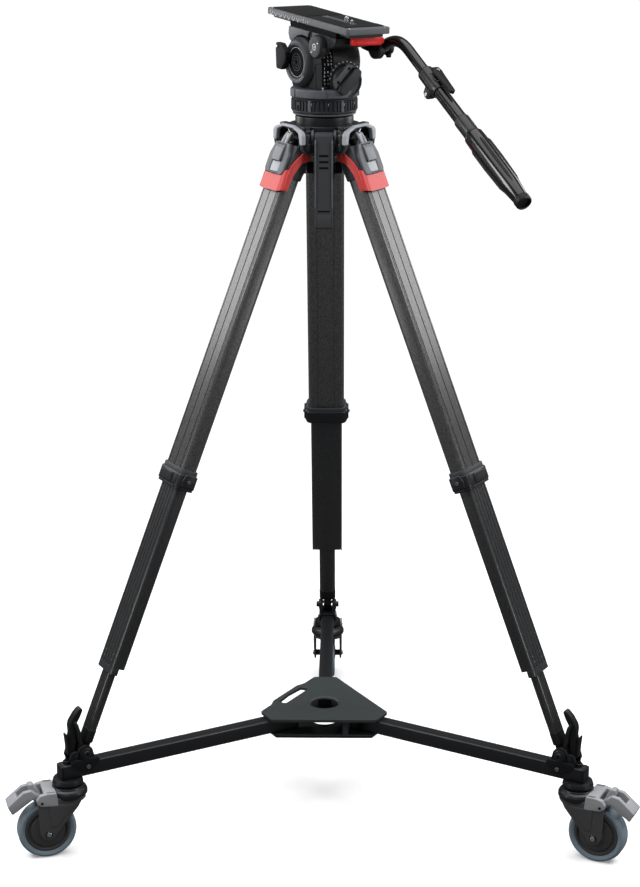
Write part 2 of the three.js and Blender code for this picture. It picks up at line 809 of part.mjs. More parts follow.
// --- tilting cradle
const tilt = group(pan, "j_tilt", 0, 0, TILT_Z, 0, TILT_DEG, 0, [0, 1, 0]);
{
  // two side cheeks outside the drum's ends joined over the top
  const bedTop = BED_TOP;
  let c = box(-45, 94, -40, 40, 43.5, bedTop);
  // front and rear feet of the cradle, hugging the drum
  c = join(c, slabY([[-42, bedTop - 1], [-43, 41], [-53, 28], [-50, 20], [-37, 20], [-30, 34], [-22, 44], [-22, bedTop - 1]], -40, 34));
  c = join(c, slabY([[94, bedTop - 1], [94, 42], [80, 36], [52, 36], [44, 26], [38, 24], [32, 32], [24, 44], [24, bedTop - 1]], -34, 34));
  c = cut(c, put(rod(42.2, -60, 60, 36), 0, 0, 0, 90));
  // cheek on the operator's right with the bar rosette
  c = join(c, slabY([[52, 50], [52, 38], [62, 28], [84, 26], [94, 34], [94, 50]], 30, 46));
  // rails for the camera plate
  c = join(c, box(-42, 94, -40, -33, bedTop - 2, bedTop + 5.4), box(-42, 94, 33, 40, bedTop - 2, bedTop + 5.4));
  // dial boss on the cap side
  c = join(c, put(rod(14, 34, 41, 16), DIAL_X, 0, DIAL_Z, 90));
  c = cut(c, put(rod(42.2, -60, 60, 36), 0, 0, 0, 90));
  mesh(tilt, "tilt_cradle", c, DARK);

  // tilt drag dial on the cap side
  const d = group(tilt, "j_tilt_drag", DIAL_X, -41.4, DIAL_Z, 0, 0, 0, [0, 1, 0]);
  let dial = put(turn([[0, 0], [18.5, 0], [18.5, 10], [16, 12.5], [0, 12.5]], 20), 0, 0, 0, 90);
  mesh(d, "tilt_drag_dial", dial, SATIN);

  // bubble / small dial at the operator's right
  const sd = group(tilt, "j_small_dial", -30, 40.6, 50, 0, 0, 0, [0, 1, 0]);
  mesh(sd, "level_dial", put(rod(7, 0, 6, 14), 0, 6, 0, 90), SATIN);

  // --- camera plate, sliding along the cradle
  const ps = group(tilt, "j_plate", 0, 0, 0, 0, 0, 0, [1, 0, 0]);
  const px = 4,
    z0 = bedTop + 0.4;
  let p = prism(roundRect(PLATE_L / 2, PLATE_W / 2, 6, 3), z0 + 5.4, z0 + PLATE_T);
  p = join(p, box(-PLATE_L / 2 + 8, PLATE_L / 2 - 8, -32.6, 32.6, z0, z0 + 6));
  // screw slot and pad recess
  p = cut(p, put(prism(stadium(40, 3.6, 4), z0 - 1, z0 + 30), 38, 0, 0));
  p = cut(p, put(prism(stadium(42, 9, 6), z0 - 1, z0 + 7), 38, 0, 0));
  // anti-slip pads stand proud of the plate
  p = join(p, box(-112, -12, -36, 36, z0 + PLATE_T - 1, z0 + PLATE_T + 1.5), box(88, 112, -36, 36, z0 + PLATE_T - 1, z0 + PLATE_T + 1.5));
  p = join(p, put(rod(2.3, z0 + 14, z0 + PLATE_T + 6, 10), 74, 0, 0), box(70, 78, -5, 5, z0 + 8, z0 + PLATE_T - 0.5));
  const pg = group(ps, "plate_frame", px, 0, 0);
  mesh(pg, "camera_plate", p, DARK);
  const sc = group(pg, "j_camera_screw", 57, 0, 0, 0, 0, 0, [0, 0, 1]);
  mesh(
    sc,
    "camera_screw",
    join(rod(8.2, z0 + 0.8, z0 + 6.5, 16), rod(3.2, z0 + 6, z0 + 16 + 9, 12)),
    STEEL,
  );
  // --- red plate lever under the rear end
  const pl = group(tilt, "j_plate_lever", 99, -12, 48, 0, 0, 0, [0, 0, -1]);
  mesh(
    pl,
    "plate_lever",
    join(rod(4.5, -8, 7.6, 12), slabX([[-4, -7], [50, -8], [57, -4], [57, 3], [50, 7], [-4, 7]], -3, 9)),
    RED,
  );
}

// ================= pan bar =================
{
  // clamps on the rosette; frame: +Y away from the head, bar turned by its angle
  const g = group(tilt, "j_bar_angle", 74.8, 46.4, 30, 0, -TILT_DEG, 0, [0, 1, 0]);
  const T = 14; // lateral offset of the bar from the rosette face
  const E = [62, T, 14]; // elbow
  const ca = Math.cos(BAR_DROP * RAD),
    sa = -Math.sin(BAR_DROP * RAD);
  const on = (s, dy = 0, dn = 0) => [E[0] + s * ca - dn * sa, E[1] + dy, E[2] + s * sa + dn * ca];
  let inner = join(
    put(rod(18, 0, 12, 20), 0, 12, 0, 90),
    bar([4, T, 4], [34, T, 16], 9, 12),
    solid(new THREE.SphereGeometry(9, 12, 6), mat(34, T, 16)),
    bar([34, T, 16], E, 9, 12),
    solid(new THREE.SphereGeometry(9, 12, 6), mat(...E)),
    bar(E, on(205), 9, 12),
  );
  mesh(g, "pan_bar_inner", inner, SATIN);

  // bar clamp knob on the outer side of the rosette
  const k = group(g, "j_bar_knob", 0, 23.6, 0, 0, 0, 0, [0, 1, 0]);
  mesh(
    k,
    "bar_clamp_knob",
    join(put(rod(13, 0, 10, 12), 0, 10, 0, 90), slabY([[-5, 0], [5, 0], [4, -24], [-4, -24]], 3, 9)),
    BLACK,
  );

  // outer tube: slides into the clamp along the bar
  const dirX = ca,
    dirZ = sa;
  const s = group(g, "j_bar_slide", 0, 0, 0, 0, 0, 0, [dirX, 0, dirZ]);
  // split clamp at its upper end, with a bolt lug below
  let outer = join(
    bar(on(78), on(129), 14, 14),
    bar(on(100, 0, -22), on(112, 0, -22), 6, 10),
    slabY([[100, -24], [112, -24], [112, -10], [100, -10]].map(([x, n]) => { const q = on(x, 0, n); return [q[0], q[2]]; }), E[1] - 6, E[1] + 6),
    bar(on(128), on(208), 10.9, 14),
    bar(on(205), on(233.7), 13, 14),
    bar(on(232), on(392), 9, 10),
  );
  outer = cut(outer, bar(on(70), on(228), 9.5, 12));
  mesh(s, "pan_bar_outer", outer, SATIN);
  let grip = bar(on(234), on(250), 14, 16, 16);
  grip = join(grip, bar(on(249.5), on(380), 16, 16, 15), bar(on(379.5), on(395), 12, 14));
  for (let i = 0; i < 6; i++) {
    const a = i * 60 * RAD,
      r = 17.2;
    grip = cut(grip, bar(on(262, r * Math.cos(a), r * Math.sin(a)), on(372, (r - 0.7) * Math.cos(a), (r - 0.7) * Math.sin(a)), 2.6, 6));
  }
  grip = cut(grip, bar(on(230), on(393), 9.6, 10));
  mesh(s, "pan_bar_grip", grip, BLACK);

  // wing lever of the tube clamp
  const wp = on(104, 0, 17.4);
  const w = group(s, "j_bar_wing", wp[0], wp[1], wp[2], 0, BAR_DROP, 0, [0, 0, 1]);
  mesh(
    w,
    "bar_wing_lever",
    join(rod(6, -2.6, 5, 12), prism([[-10, -5], [-4, -8], [8, -6], [52, -4], [54, 0], [52, 4], [8, 6], [-4, 8], [-10, 5]], 0.5, 7)),
    SATIN,
  );
}

export default root;
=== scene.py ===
import bpy, bmesh, json, math
from mathutils import Matrix, Vector

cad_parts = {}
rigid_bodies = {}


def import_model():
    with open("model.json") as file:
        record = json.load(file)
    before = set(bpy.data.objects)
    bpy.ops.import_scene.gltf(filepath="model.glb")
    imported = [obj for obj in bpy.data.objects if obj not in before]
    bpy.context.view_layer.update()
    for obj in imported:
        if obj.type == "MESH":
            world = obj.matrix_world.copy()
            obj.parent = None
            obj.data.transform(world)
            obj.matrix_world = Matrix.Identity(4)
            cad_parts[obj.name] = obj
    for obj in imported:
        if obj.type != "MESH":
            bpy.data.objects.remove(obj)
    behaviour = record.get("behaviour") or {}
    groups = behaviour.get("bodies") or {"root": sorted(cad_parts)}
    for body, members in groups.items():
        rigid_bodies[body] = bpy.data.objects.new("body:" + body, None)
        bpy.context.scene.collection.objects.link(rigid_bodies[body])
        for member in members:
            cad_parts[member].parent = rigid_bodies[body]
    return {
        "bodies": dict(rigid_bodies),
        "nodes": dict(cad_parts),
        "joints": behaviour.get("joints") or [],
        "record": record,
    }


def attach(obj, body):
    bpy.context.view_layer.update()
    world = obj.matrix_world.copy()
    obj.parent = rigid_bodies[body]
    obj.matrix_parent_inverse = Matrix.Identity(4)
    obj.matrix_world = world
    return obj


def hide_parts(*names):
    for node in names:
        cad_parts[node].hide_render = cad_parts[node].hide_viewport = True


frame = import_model()
SIDES = {"rear": 90, "left": 210, "right": 330}

# ---------------------------------------------------------------- frames (mm)
T = lambda x, y, z: Matrix.Translation((x, y, z))
RX = lambda a: Matrix.Rotation(math.radians(a), 4, "X")
RY = lambda a: Matrix.Rotation(math.radians(a), 4, "Y")
RZ = lambda a: Matrix.Rotation(math.radians(a), 4, "Z")
AX, AY = 1.4, -118.0
F0 = T(AX, AY, 0)
SPREAD = math.degrees(math.atan2(472 - 56.4, 1182 - 182))
LEG_LEN = math.hypot(472 - 56.4, 1182 - 182)
PAN = F0 @ RZ(-57)
TILT_Z = 1317
TILT = PAN @ T(0, 0, TILT_Z) @ RY(4.5)
PLATE = TILT @ T(4, 0, 0)
BAR = TILT @ T(74.8, 46.4, 30) @ RY(-4.5)
TRAIL = 39
CASTER = {"rear": 90, "left": 197, "right": 335}
MM = Matrix.Scale(0.001, 4)
I4 = Matrix.Identity(4)
ARM = lambda s: F0 @ RZ(SIDES[s])
HINGE = lambda s: ARM(s) @ T(56.4, 0, 1182) @ RY(-SPREAD)
FORK = lambda s: ARM(s) @ T(500, 0, 0) @ RZ(CASTER[s] - SIDES[s])


# ---------------------------------------------------------------- materials
def srgb(r, g, b):
    f = lambda c: (c / 255 / 12.92) if c / 255 <= 0.04045 else ((c / 255 + 0.055) / 1.055) ** 2.4
    return (f(r), f(g), f(b), 1.0)


def base_mat(name, colour, rough=0.5, metal=0.0, spec=0.5, coat=0.0, coat_rough=0.1):
    m = bpy.data.materials.new(name)
    m.use_nodes = True
    b = m.node_tree.nodes["Principled BSDF"]
    b.inputs["Base Color"].default_value = srgb(*colour)
    b.inputs["Roughness"].default_value = rough
    b.inputs["Metallic"].default_value = metal
    b.inputs["Specular IOR Level"].default_value = spec
    b.inputs["Coat Weight"].default_value = coat
    b.inputs["Coat Roughness"].default_value = coat_rough
    return m, m.node_tree, b


def grain(m, tree, b, scale=900, strength=0.15, spread=0.0, dist=0.0004):
    """Fine cast or moulded grain: bump, and a little light and dark."""
    n, l = tree.nodes, tree.links
    tc = n.new("ShaderNodeTexCoord")
    nz = n.new("ShaderNodeTexNoise")
    nz.inputs["Scale"].default_value = scale
    nz.inputs["Detail"].default_value = 3
    l.new(tc.outputs["Object"], nz.inputs["Vector"])
    bp = n.new("ShaderNodeBump")
    bp.inputs["Strength"].default_value = strength
    bp.inputs["Distance"].default_value = dist
    l.new(nz.outputs["Fac"], bp.inputs["Height"])
    l.new(bp.outputs["Normal"], b.inputs["Normal"])
    if spread:
        c = list(b.inputs["Base Color"].default_value)
        r = n.new("ShaderNodeMix")
        r.data_type = "RGBA"
        r.inputs[6].default_value = [v * (1 - spread) for v in c[:3]] + [1]
        r.inputs[7].default_value = [min(1, v * (1 + spread)) for v in c[:3]] + [1]
        l.new(nz.outputs["Fac"], r.inputs[0])
        l.new(r.outputs[2], b.inputs["Base Color"])
    return m


M = {}
M["black"], t_, b_ = base_mat("black_plastic", (17, 18, 20), 0.46, 0.0, 0.22)
M["blackmetal"], t_, b_ = base_mat("black_coat", (22, 23, 26), 0.33, 0.0, 0.45)
grain(M["blackmetal"], t_, b_, 700, 0.08)
M["gloss"], t_, b_ = base_mat("gloss_black", (14, 15, 18), 0.2, 0.0, 0.35, 0.3, 0.08)
M["dark"], t_, b_ = base_mat("dark_grey_cast", (56, 58, 61), 0.5, 0.0, 0.3)
grain(M["dark"], t_, b_, 900, 0.22, 0.12)
M["housing"], t_, b_ = base_mat("head_housing", (35, 37, 40), 0.46, 0.0, 0.3)
grain(M["housing"], t_, b_, 900, 0.22, 0.12)
M["plate"], t_, b_ = base_mat("dolly_plate_coat", (47, 52, 52), 0.5, 0.0, 0.3)
grain(M["plate"], t_, b_, 800, 0.12, 0.06)
# mid grey of the cast parts, also used for the painted highlight crescent on the head's end cap
M["midgrey"], t_, b_ = base_mat("mid_grey_cast_and_painted_highlight", (82, 85, 89), 0.48, 0.0, 0.35)
grain(M["midgrey"], t_, b_, 900, 0.2, 0.1)
M["light"], t_, b_ = base_mat("light_grey_cast", (160, 164, 170), 0.45, 0.0, 0.4)
grain(M["light"], t_, b_, 900, 0.15, 0.05)
M["lever"], t_, b_ = base_mat("lever_grey_cast", (112, 115, 119), 0.45, 0.0, 0.35)
grain(M["lever"], t_, b_, 900, 0.15, 0.05)
M["pedal"], t_, b_ = base_mat("pedal_grey", (142, 144, 147), 0.5, 0.0, 0.35)
grain(M["pedal"], t_, b_, 900, 0.15, 0.05)
M["brakelever"], t_, b_ = base_mat("brake_lever_coat", (20, 21, 24), 0.6, 0.0, 0.15)
M["fork"], t_, b_ = base_mat("fork_plastic", (68, 68, 70), 0.48, 0.0, 0.3)
grain(M["fork"], t_, b_, 900, 0.12, 0.08)
M["red"], t_, b_ = base_mat("red_band", (196, 58, 56), 0.4, 0.0, 0.35)
M["redplastic"], t_, b_ = base_mat("red_lever", (228, 34, 30), 0.42, 0.0, 0.35)
M["tyre"], t_, b_ = base_mat("tyre_rubber", (120, 134, 144), 0.6, 0.0, 0.3)
M["steel"], t_, b_ = base_mat("bright_steel", (205, 207, 210), 0.25, 1.0)
M["pad"], t_, b_ = base_mat("pad_rubber", (14, 15, 16), 0.75, 0.0, 0.25)
grain(M["pad"], t_, b_, 1500, 0.3)
M["white"], t_, b_ = base_mat("white_marks", (215, 217, 220), 0.6)
M["void"], t_, b_ = base_mat("deep_black", (8, 8, 9), 0.8, 0.0, 0.1)
M["plateedge"], t_, b_ = base_mat("camera_plate_coat", (88, 90, 93), 0.5, 0.0, 0.3)
grain(M["plateedge"], t_, b_, 900, 0.15, 0.06)


def carbon(name, lo, hi, scale):
    m, tree, b = base_mat(name, hi, 0.36, 0.0, 0.5, 0.25, 0.25)
    n, l = tree.nodes, tree.links
    tc = n.new("ShaderNodeTexCoord")
    mp = n.new("ShaderNodeMapping")
    mp.inputs["Scale"].default_value = (scale, scale, scale)
    l.new(tc.outputs["Object"], mp.inputs["Vector"])
    ck = n.new("ShaderNodeTexNoise")
    ck.inputs["Scale"].default_value = 1.0
    ck.inputs["Detail"].default_value = 4
    ck.inputs["Roughness"].default_value = 0.7
    l.new(mp.outputs["Vector"], ck.inputs["Vector"])
    rp = n.new("ShaderNodeValToRGB")
    rp.color_ramp.elements[0].position = 0.38
    rp.color_ramp.elements[1].position = 0.62
    rp.color_ramp.elements[0].color = srgb(*lo)
    rp.color_ramp.elements[1].color = srgb(*hi)
    l.new(ck.outputs["Fac"], rp.inputs["Fac"])
    l.new(rp.outputs["Color"], b.inputs["Base Color"])
    return m


M["carbon"] = carbon("carbon_upper", (34, 34, 35), (84, 84, 83), 520)
M["carbon2"] = carbon("carbon_lower", (16, 17, 18), (50, 51, 53), 520)

BODY_OF = {n: b for b, ns in frame["record"]["behaviour"]["bodies"].items() for n in ns}


# ---------------------------------------------------------------- shapes
def fillet(pts, r, n=3):
    """The outline with each corner rounded by up to r; r may be a list."""
    out, k = [], len(pts)
    for i in range(k):
        p0, p1, p2 = Vector(pts[i - 1]), Vector(pts[i]), Vector(pts[(i + 1) % k])
        a, b = p0 - p1, p2 - p1
        rr = r[i] if isinstance(r, (list, tuple)) else r
        if rr <= 0 or a.length < 1e-6 or b.length < 1e-6:
            out.append(tuple(p1))
            continue
        ang = a.angle(b)
        if ang > math.radians(172) or ang < math.radians(3):
            out.append(tuple(p1))
            continue
        d = min(rr / math.tan(ang / 2), a.length * 0.48, b.length * 0.48)
        q0, q1 = p1 + a.normalized() * d, p1 + b.normalized() * d
        for j in range(n + 1):
            t = j / n
            out.append(tuple(q0 * (1 - t) ** 2 + p1 * 2 * t * (1 - t) + q1 * t * t))
    return out


def arc(cx, cy, r, a0, a1, n):
    return [
        (cx + r * math.cos(math.radians(a0 + (a1 - a0) * i / n)), cy + r * math.sin(math.radians(a0 + (a1 - a0) * i / n)))
        for i in range(n + 1)
    ]


def rrect(hw, hh, r, n=6):
    return (
        arc(hw - r, -(hh - r), r, -90, 0, n) + arc(hw - r, hh - r, r, 0, 90, n)
        + arc(-(hw - r), hh - r, r, 90, 180, n) + arc(-(hw - r), -(hh - r), r, 180, 270, n)
    )


def circle(r, n=48, cx=0, cy=0):
    return arc(cx, cy, r, 0, 360 - 360 / n, n - 1)


class Piece:
    """One shown object, put together from turned, extruded and swept shapes in mm."""

    def __init__(self, name, body, mats, replaces=(), frame=I4, sharp=38):
        self.name, self.body = name, body
        self.mats = [mats] if isinstance(mats, str) else list(mats)
        self.repl, self.frame, self.sharp = replaces, frame, sharp
        self.bm = bmesh.new()

    def put(self, me, m=I4, mi=0):
        me.transform(self.frame @ m)
        if (self.frame @ m).determinant() < 0:
            me.flip_normals()
        for p in me.polygons:
            p.material_index = mi
        self.bm.from_mesh(me)
        bpy.data.meshes.remove(me)
        return self

    def raw(self, verts, faces, m=I4, mi=0):
        me = bpy.data.meshes.new("t")
        me.from_pydata([tuple(v) for v in verts], [], faces)
        me.update()
        return self.put(me, m, mi)

    def lathe(self, prof, m=I4, seg=72, mi=0, r=0.0, closed=True, n=3):
        pts = fillet(prof, r, n) if r else list(prof)
        verts, rings = [], []
        for rr, z in pts:
            if rr < 1e-5:
                rings.append([len(verts)] * seg)
                verts.append((0, 0, z))
            else:
                rings.append(list(range(len(verts), len(verts) + seg)))
                verts += [(rr * math.cos(2 * math.pi * i / seg), rr * math.sin(2 * math.pi * i / seg), z) for i in range(seg)]
        faces = []
        k = len(rings)
        for a in range(k if closed else k - 1):
            A, B = rings[a], rings[(a + 1) % k]
            for i in range(seg):
                j = (i + 1) % seg
                f = []
                for v in (A[i], A[j], B[j], B[i]):
                    if v not in f:
                        f.append(v)
                if len(f) > 2:
                    faces.append(f)
        # outward: the outline's winding decides
        area = sum(pts[i][0] * pts[(i + 1) % k][1] - pts[(i + 1) % k][0] * pts[i][1] for i in range(k))
        if area < 0:
            faces = [f[::-1] for f in faces]
        return self.raw(verts, faces, m, mi)

    def prism(self, outer, z0, z1, m=I4, holes=(), bevel=0.5, mi=0, res=2):
        bevel = min(bevel, (z1 - z0) * 0.45)
        cu = bpy.data.curves.new("t", "CURVE")
        cu.dimensions = "2D"
        cu.fill_mode = "BOTH"
        for pts in [outer] + list(holes):
            sp = cu.splines.new("POLY")
            sp.points.add(len(pts) - 1)
            for p, q in zip(sp.points, pts):
                p.co = (q[0], q[1], 0, 1)
            sp.use_cyclic_u = True
        cu.extrude = (z1 - z0) / 2 - bevel
        cu.bevel_depth = bevel
        cu.bevel_resolution = res
        cu.offset = -bevel
        ob = bpy.data.objects.new("t", cu)
        bpy.context.scene.collection.objects.link(ob)
        dg = bpy.context.evaluated_depsgraph_get()
        me = bpy.data.meshes.new_from_object(ob.evaluated_get(dg))
        bpy.data.objects.remove(ob)
        bpy.data.curves.remove(cu)
        return self.put(me, m @ T(0, 0, (z0 + z1) / 2), mi)

    def slabY(self, pts, y0, y1, m=I4, **k):  # outline in XZ, spread along Y
        return self.prism(pts, 0, y1 - y0, m @ T(0, y1, 0) @ RX(90), **k)

    def slabX(self, pts, x0, x1, m=I4, **k):  # outline in YZ, spread along X
        b = Matrix(((0, 0, 1, x0), (1, 0, 0, 0), (0, 1, 0, 0), (0, 0, 0, 1)))
        return self.prism(pts, 0, x1 - x0, m @ b, **k)

    def box(self, x0, x1, y0, y1, z0, z1, m=I4, bevel=0.5, r=0.0, mi=0):
        o = [(x0, y0), (x1, y0), (x1, y1), (x0, y1)]
        return self.prism(fillet(o, r) if r else o, z0, z1, m, bevel=bevel, mi=mi)

    def rod(self, r, z0, z1, m=I4, bevel=0.5, seg=48, mi=0, r1=None):
        r1 = r if r1 is None else r1
        b = min(bevel, r * 0.4, (z1 - z0) * 0.4)
        return self.lathe([(0, z0), (r - b, z0), (r, z0 + b), (r1, z1 - b), (r1 - b, z1), (0, z1)], m, seg, mi)

    def sweep(self, path, r, m=I4, seg=32, mi=0, caps=True):
        """A round bar along a smooth path; r is one radius or one for each point."""
        P = [Vector(p) for p in path]
        R = r if isinstance(r, (list, tuple)) else [r] * len(P)
        up = None
        verts, faces = [], []
        for i, p in enumerate(P):
            d = (P[min(i + 1, len(P) - 1)] - P[max(i - 1, 0)]).normalized()
            if up is None:
                up = d.orthogonal().normalized()
            up = (up - d * up.dot(d)).normalized()
            s = d.cross(up)
            verts += [p + (up * math.cos(2 * math.pi * k / seg) + s * math.sin(2 * math.pi * k / seg)) * R[i] for k in range(seg)]
            if i:
                for k in range(seg):
                    a, b = (i - 1) * seg + k, (i - 1) * seg + (k + 1) % seg
                    faces.append((a, b, b + seg, a + seg))
        if caps:
            faces.append(tuple(range(seg))[::-1])
            faces.append(tuple(range((len(P) - 1) * seg, len(P) * seg)))
        return self.raw(verts, faces, m, mi)

    def screw(self, r, m=I4, mi=0, sock=True):
        """A cap screw's head standing on z = 0, with a round socket."""
        self.lathe([(0, 0), (r, 0), (r, r * 0.75), (r * 0.9, r * 0.85), (r * 0.55, r * 0.85), (r * 0.5, r * 0.4), (0, r * 0.4)], m, 20, mi)
        return self

    def done(self):
        me = bpy.data.meshes.new(self.name)
        bmesh.ops.remove_doubles(self.bm, verts=self.bm.verts, dist=0.0005)
        bmesh.ops.recalc_face_normals(self.bm, faces=self.bm.faces)
        self.bm.to_mesh(me)
        self.bm.free()
        me.transform(MM)
        for k in self.mats:
            me.materials.append(M[k])
        for p in me.polygons:
            p.use_smooth = True
        me.set_sharp_from_angle(angle=math.radians(self.sharp))
        ob = bpy.data.objects.new(self.name, me)
        bpy.context.scene.collection.objects.link(ob)
        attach(ob, self.body)
        if self.repl:
            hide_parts(*([self.repl] if isinstance(self.repl, str) else self.repl))
        return ob


DONE = []

# ---------------------------------------------------------------- CAD nodes that stay: materials and soft edges
NODE_MAT = {
    "dolly_top_plate": "plate", "dolly_bottom_plate": "blackmetal", "dolly_arm": "blackmetal", "foot_clamp": "black",
    "clamp_lever": "black", "caster_fork": "black", "wheel_hub": "black", "tyre": "tyre", "brake_pedal": "light",
    "crown": "dark", "tie_down_knob": "black", "carry_handle": "dark", "leg_upper": "carbon", "leg_shoulder": "dark",
    "leg_band": "red", "leg_brake_lever": "light", "leg_middle": "carbon2", "leg_lower": "carbon2",
    "half_ball_base": "blackmetal", "pan_drag_ring": "housing", "pan_body": "housing", "counterbalance_knob": "housing",
    "tilt_cradle": "housing", "tilt_drag_dial": "housing", "tilt_brake_lever": "blackmetal", "level_dial": "housing",
    "camera_plate": "midgrey", "plate_lever": "redplastic", "camera_screw": "steel", "pan_bar_inner": "gloss",
    "bar_clamp_knob": "black", "pan_bar_outer": "gloss", "bar_wing_lever": "black", "pan_bar_grip": "black",
}
for name, ob in frame["nodes"].items():
    key = next((k for k in sorted(NODE_MAT, key=len, reverse=True) if name.startswith(k)), "pan_body")
    ob.data.materials.clear()
    ob.data.materials.append(M[NODE_MAT[key]])
    w = ob.modifiers.new("weld", "WELD")
    w.merge_threshold = 0.00002
    bv = ob.modifiers.new("edge", "BEVEL")
    bv.width = 0.0006
    bv.segments = 2
    bv.limit_method = "ANGLE"
    bv.angle_limit = math.radians(38)
    bv.harden_normals = False
    for p in ob.data.polygons:
        p.use_smooth = True
    ob.data.set_sharp_from_angle(angle=math.radians(30))

# ---------------------------------------------------------------- dolly
def tri_outline(s, c):
    pts = []
    w = (2 * s - c) / math.sqrt(3)
    for a in (90, 210, 330):
        ca, sa = math.cos(math.radians(a)), math.sin(math.radians(a))
        pts += [(c * ca + w * sa, c * sa - w * ca), (c * ca - w * sa, c * sa + w * ca)]
    return pts


def rot(pts, a):
    ca, sa = math.cos(math.radians(a)), math.sin(math.radians(a))
    return [(x * ca - y * sa, x * sa + y * ca) for x, y in pts]


tri = tri_outline(77.5, 119)
# the side facing 150 degrees lies between the rear corner's second point and the left corner's first
outer = []
for i, p in enumerate(tri):
    outer.append(p)
    if i == 1:
        outer += rot([(77.5, -58), (84, -40), (84, 40), (77.5, 58)], 150)
outer = fillet(outer, 7, 4)
slot = fillet(rot([(58, -39), (73, -39), (76, 0), (73, 39), (58, 39)], 150), 4, 4)
p = Piece("top_plate_look", "dolly", ["plate", "steel", "blackmetal"], "dolly_top_plate", F0)
p.prism(outer, 164.2, 170.2, holes=[slot, circle(27.5, 64)], bevel=0.9, res=3)
p.lathe([(25, 165), (27.6, 165), (27.6, 170.1), (25, 167.6)], seg=64)
POSTS = ((61, 75), (191, 79), (301, 75))
p.done()
p = Piece("bottom_plate_look", "dolly", ["blackmetal", "midgrey", "plate"], "dolly_bottom_plate", F0)
p.prism(fillet(tri_outline(72, 110), 6, 4), 132, 138.2, holes=[circle(25, 64)], bevel=0.9)
for a, r_ in POSTS:
    p.rod(6, 137.5, 164, RZ(a) @ T(r_, 0, 0), mi=2, bevel=0.6)
for a in (90, 210, 330):
    p.rod(7, 128.5, 132.3, RZ(a) @ T(85, 0, 0), bevel=0.8, seg=6)
p.done()

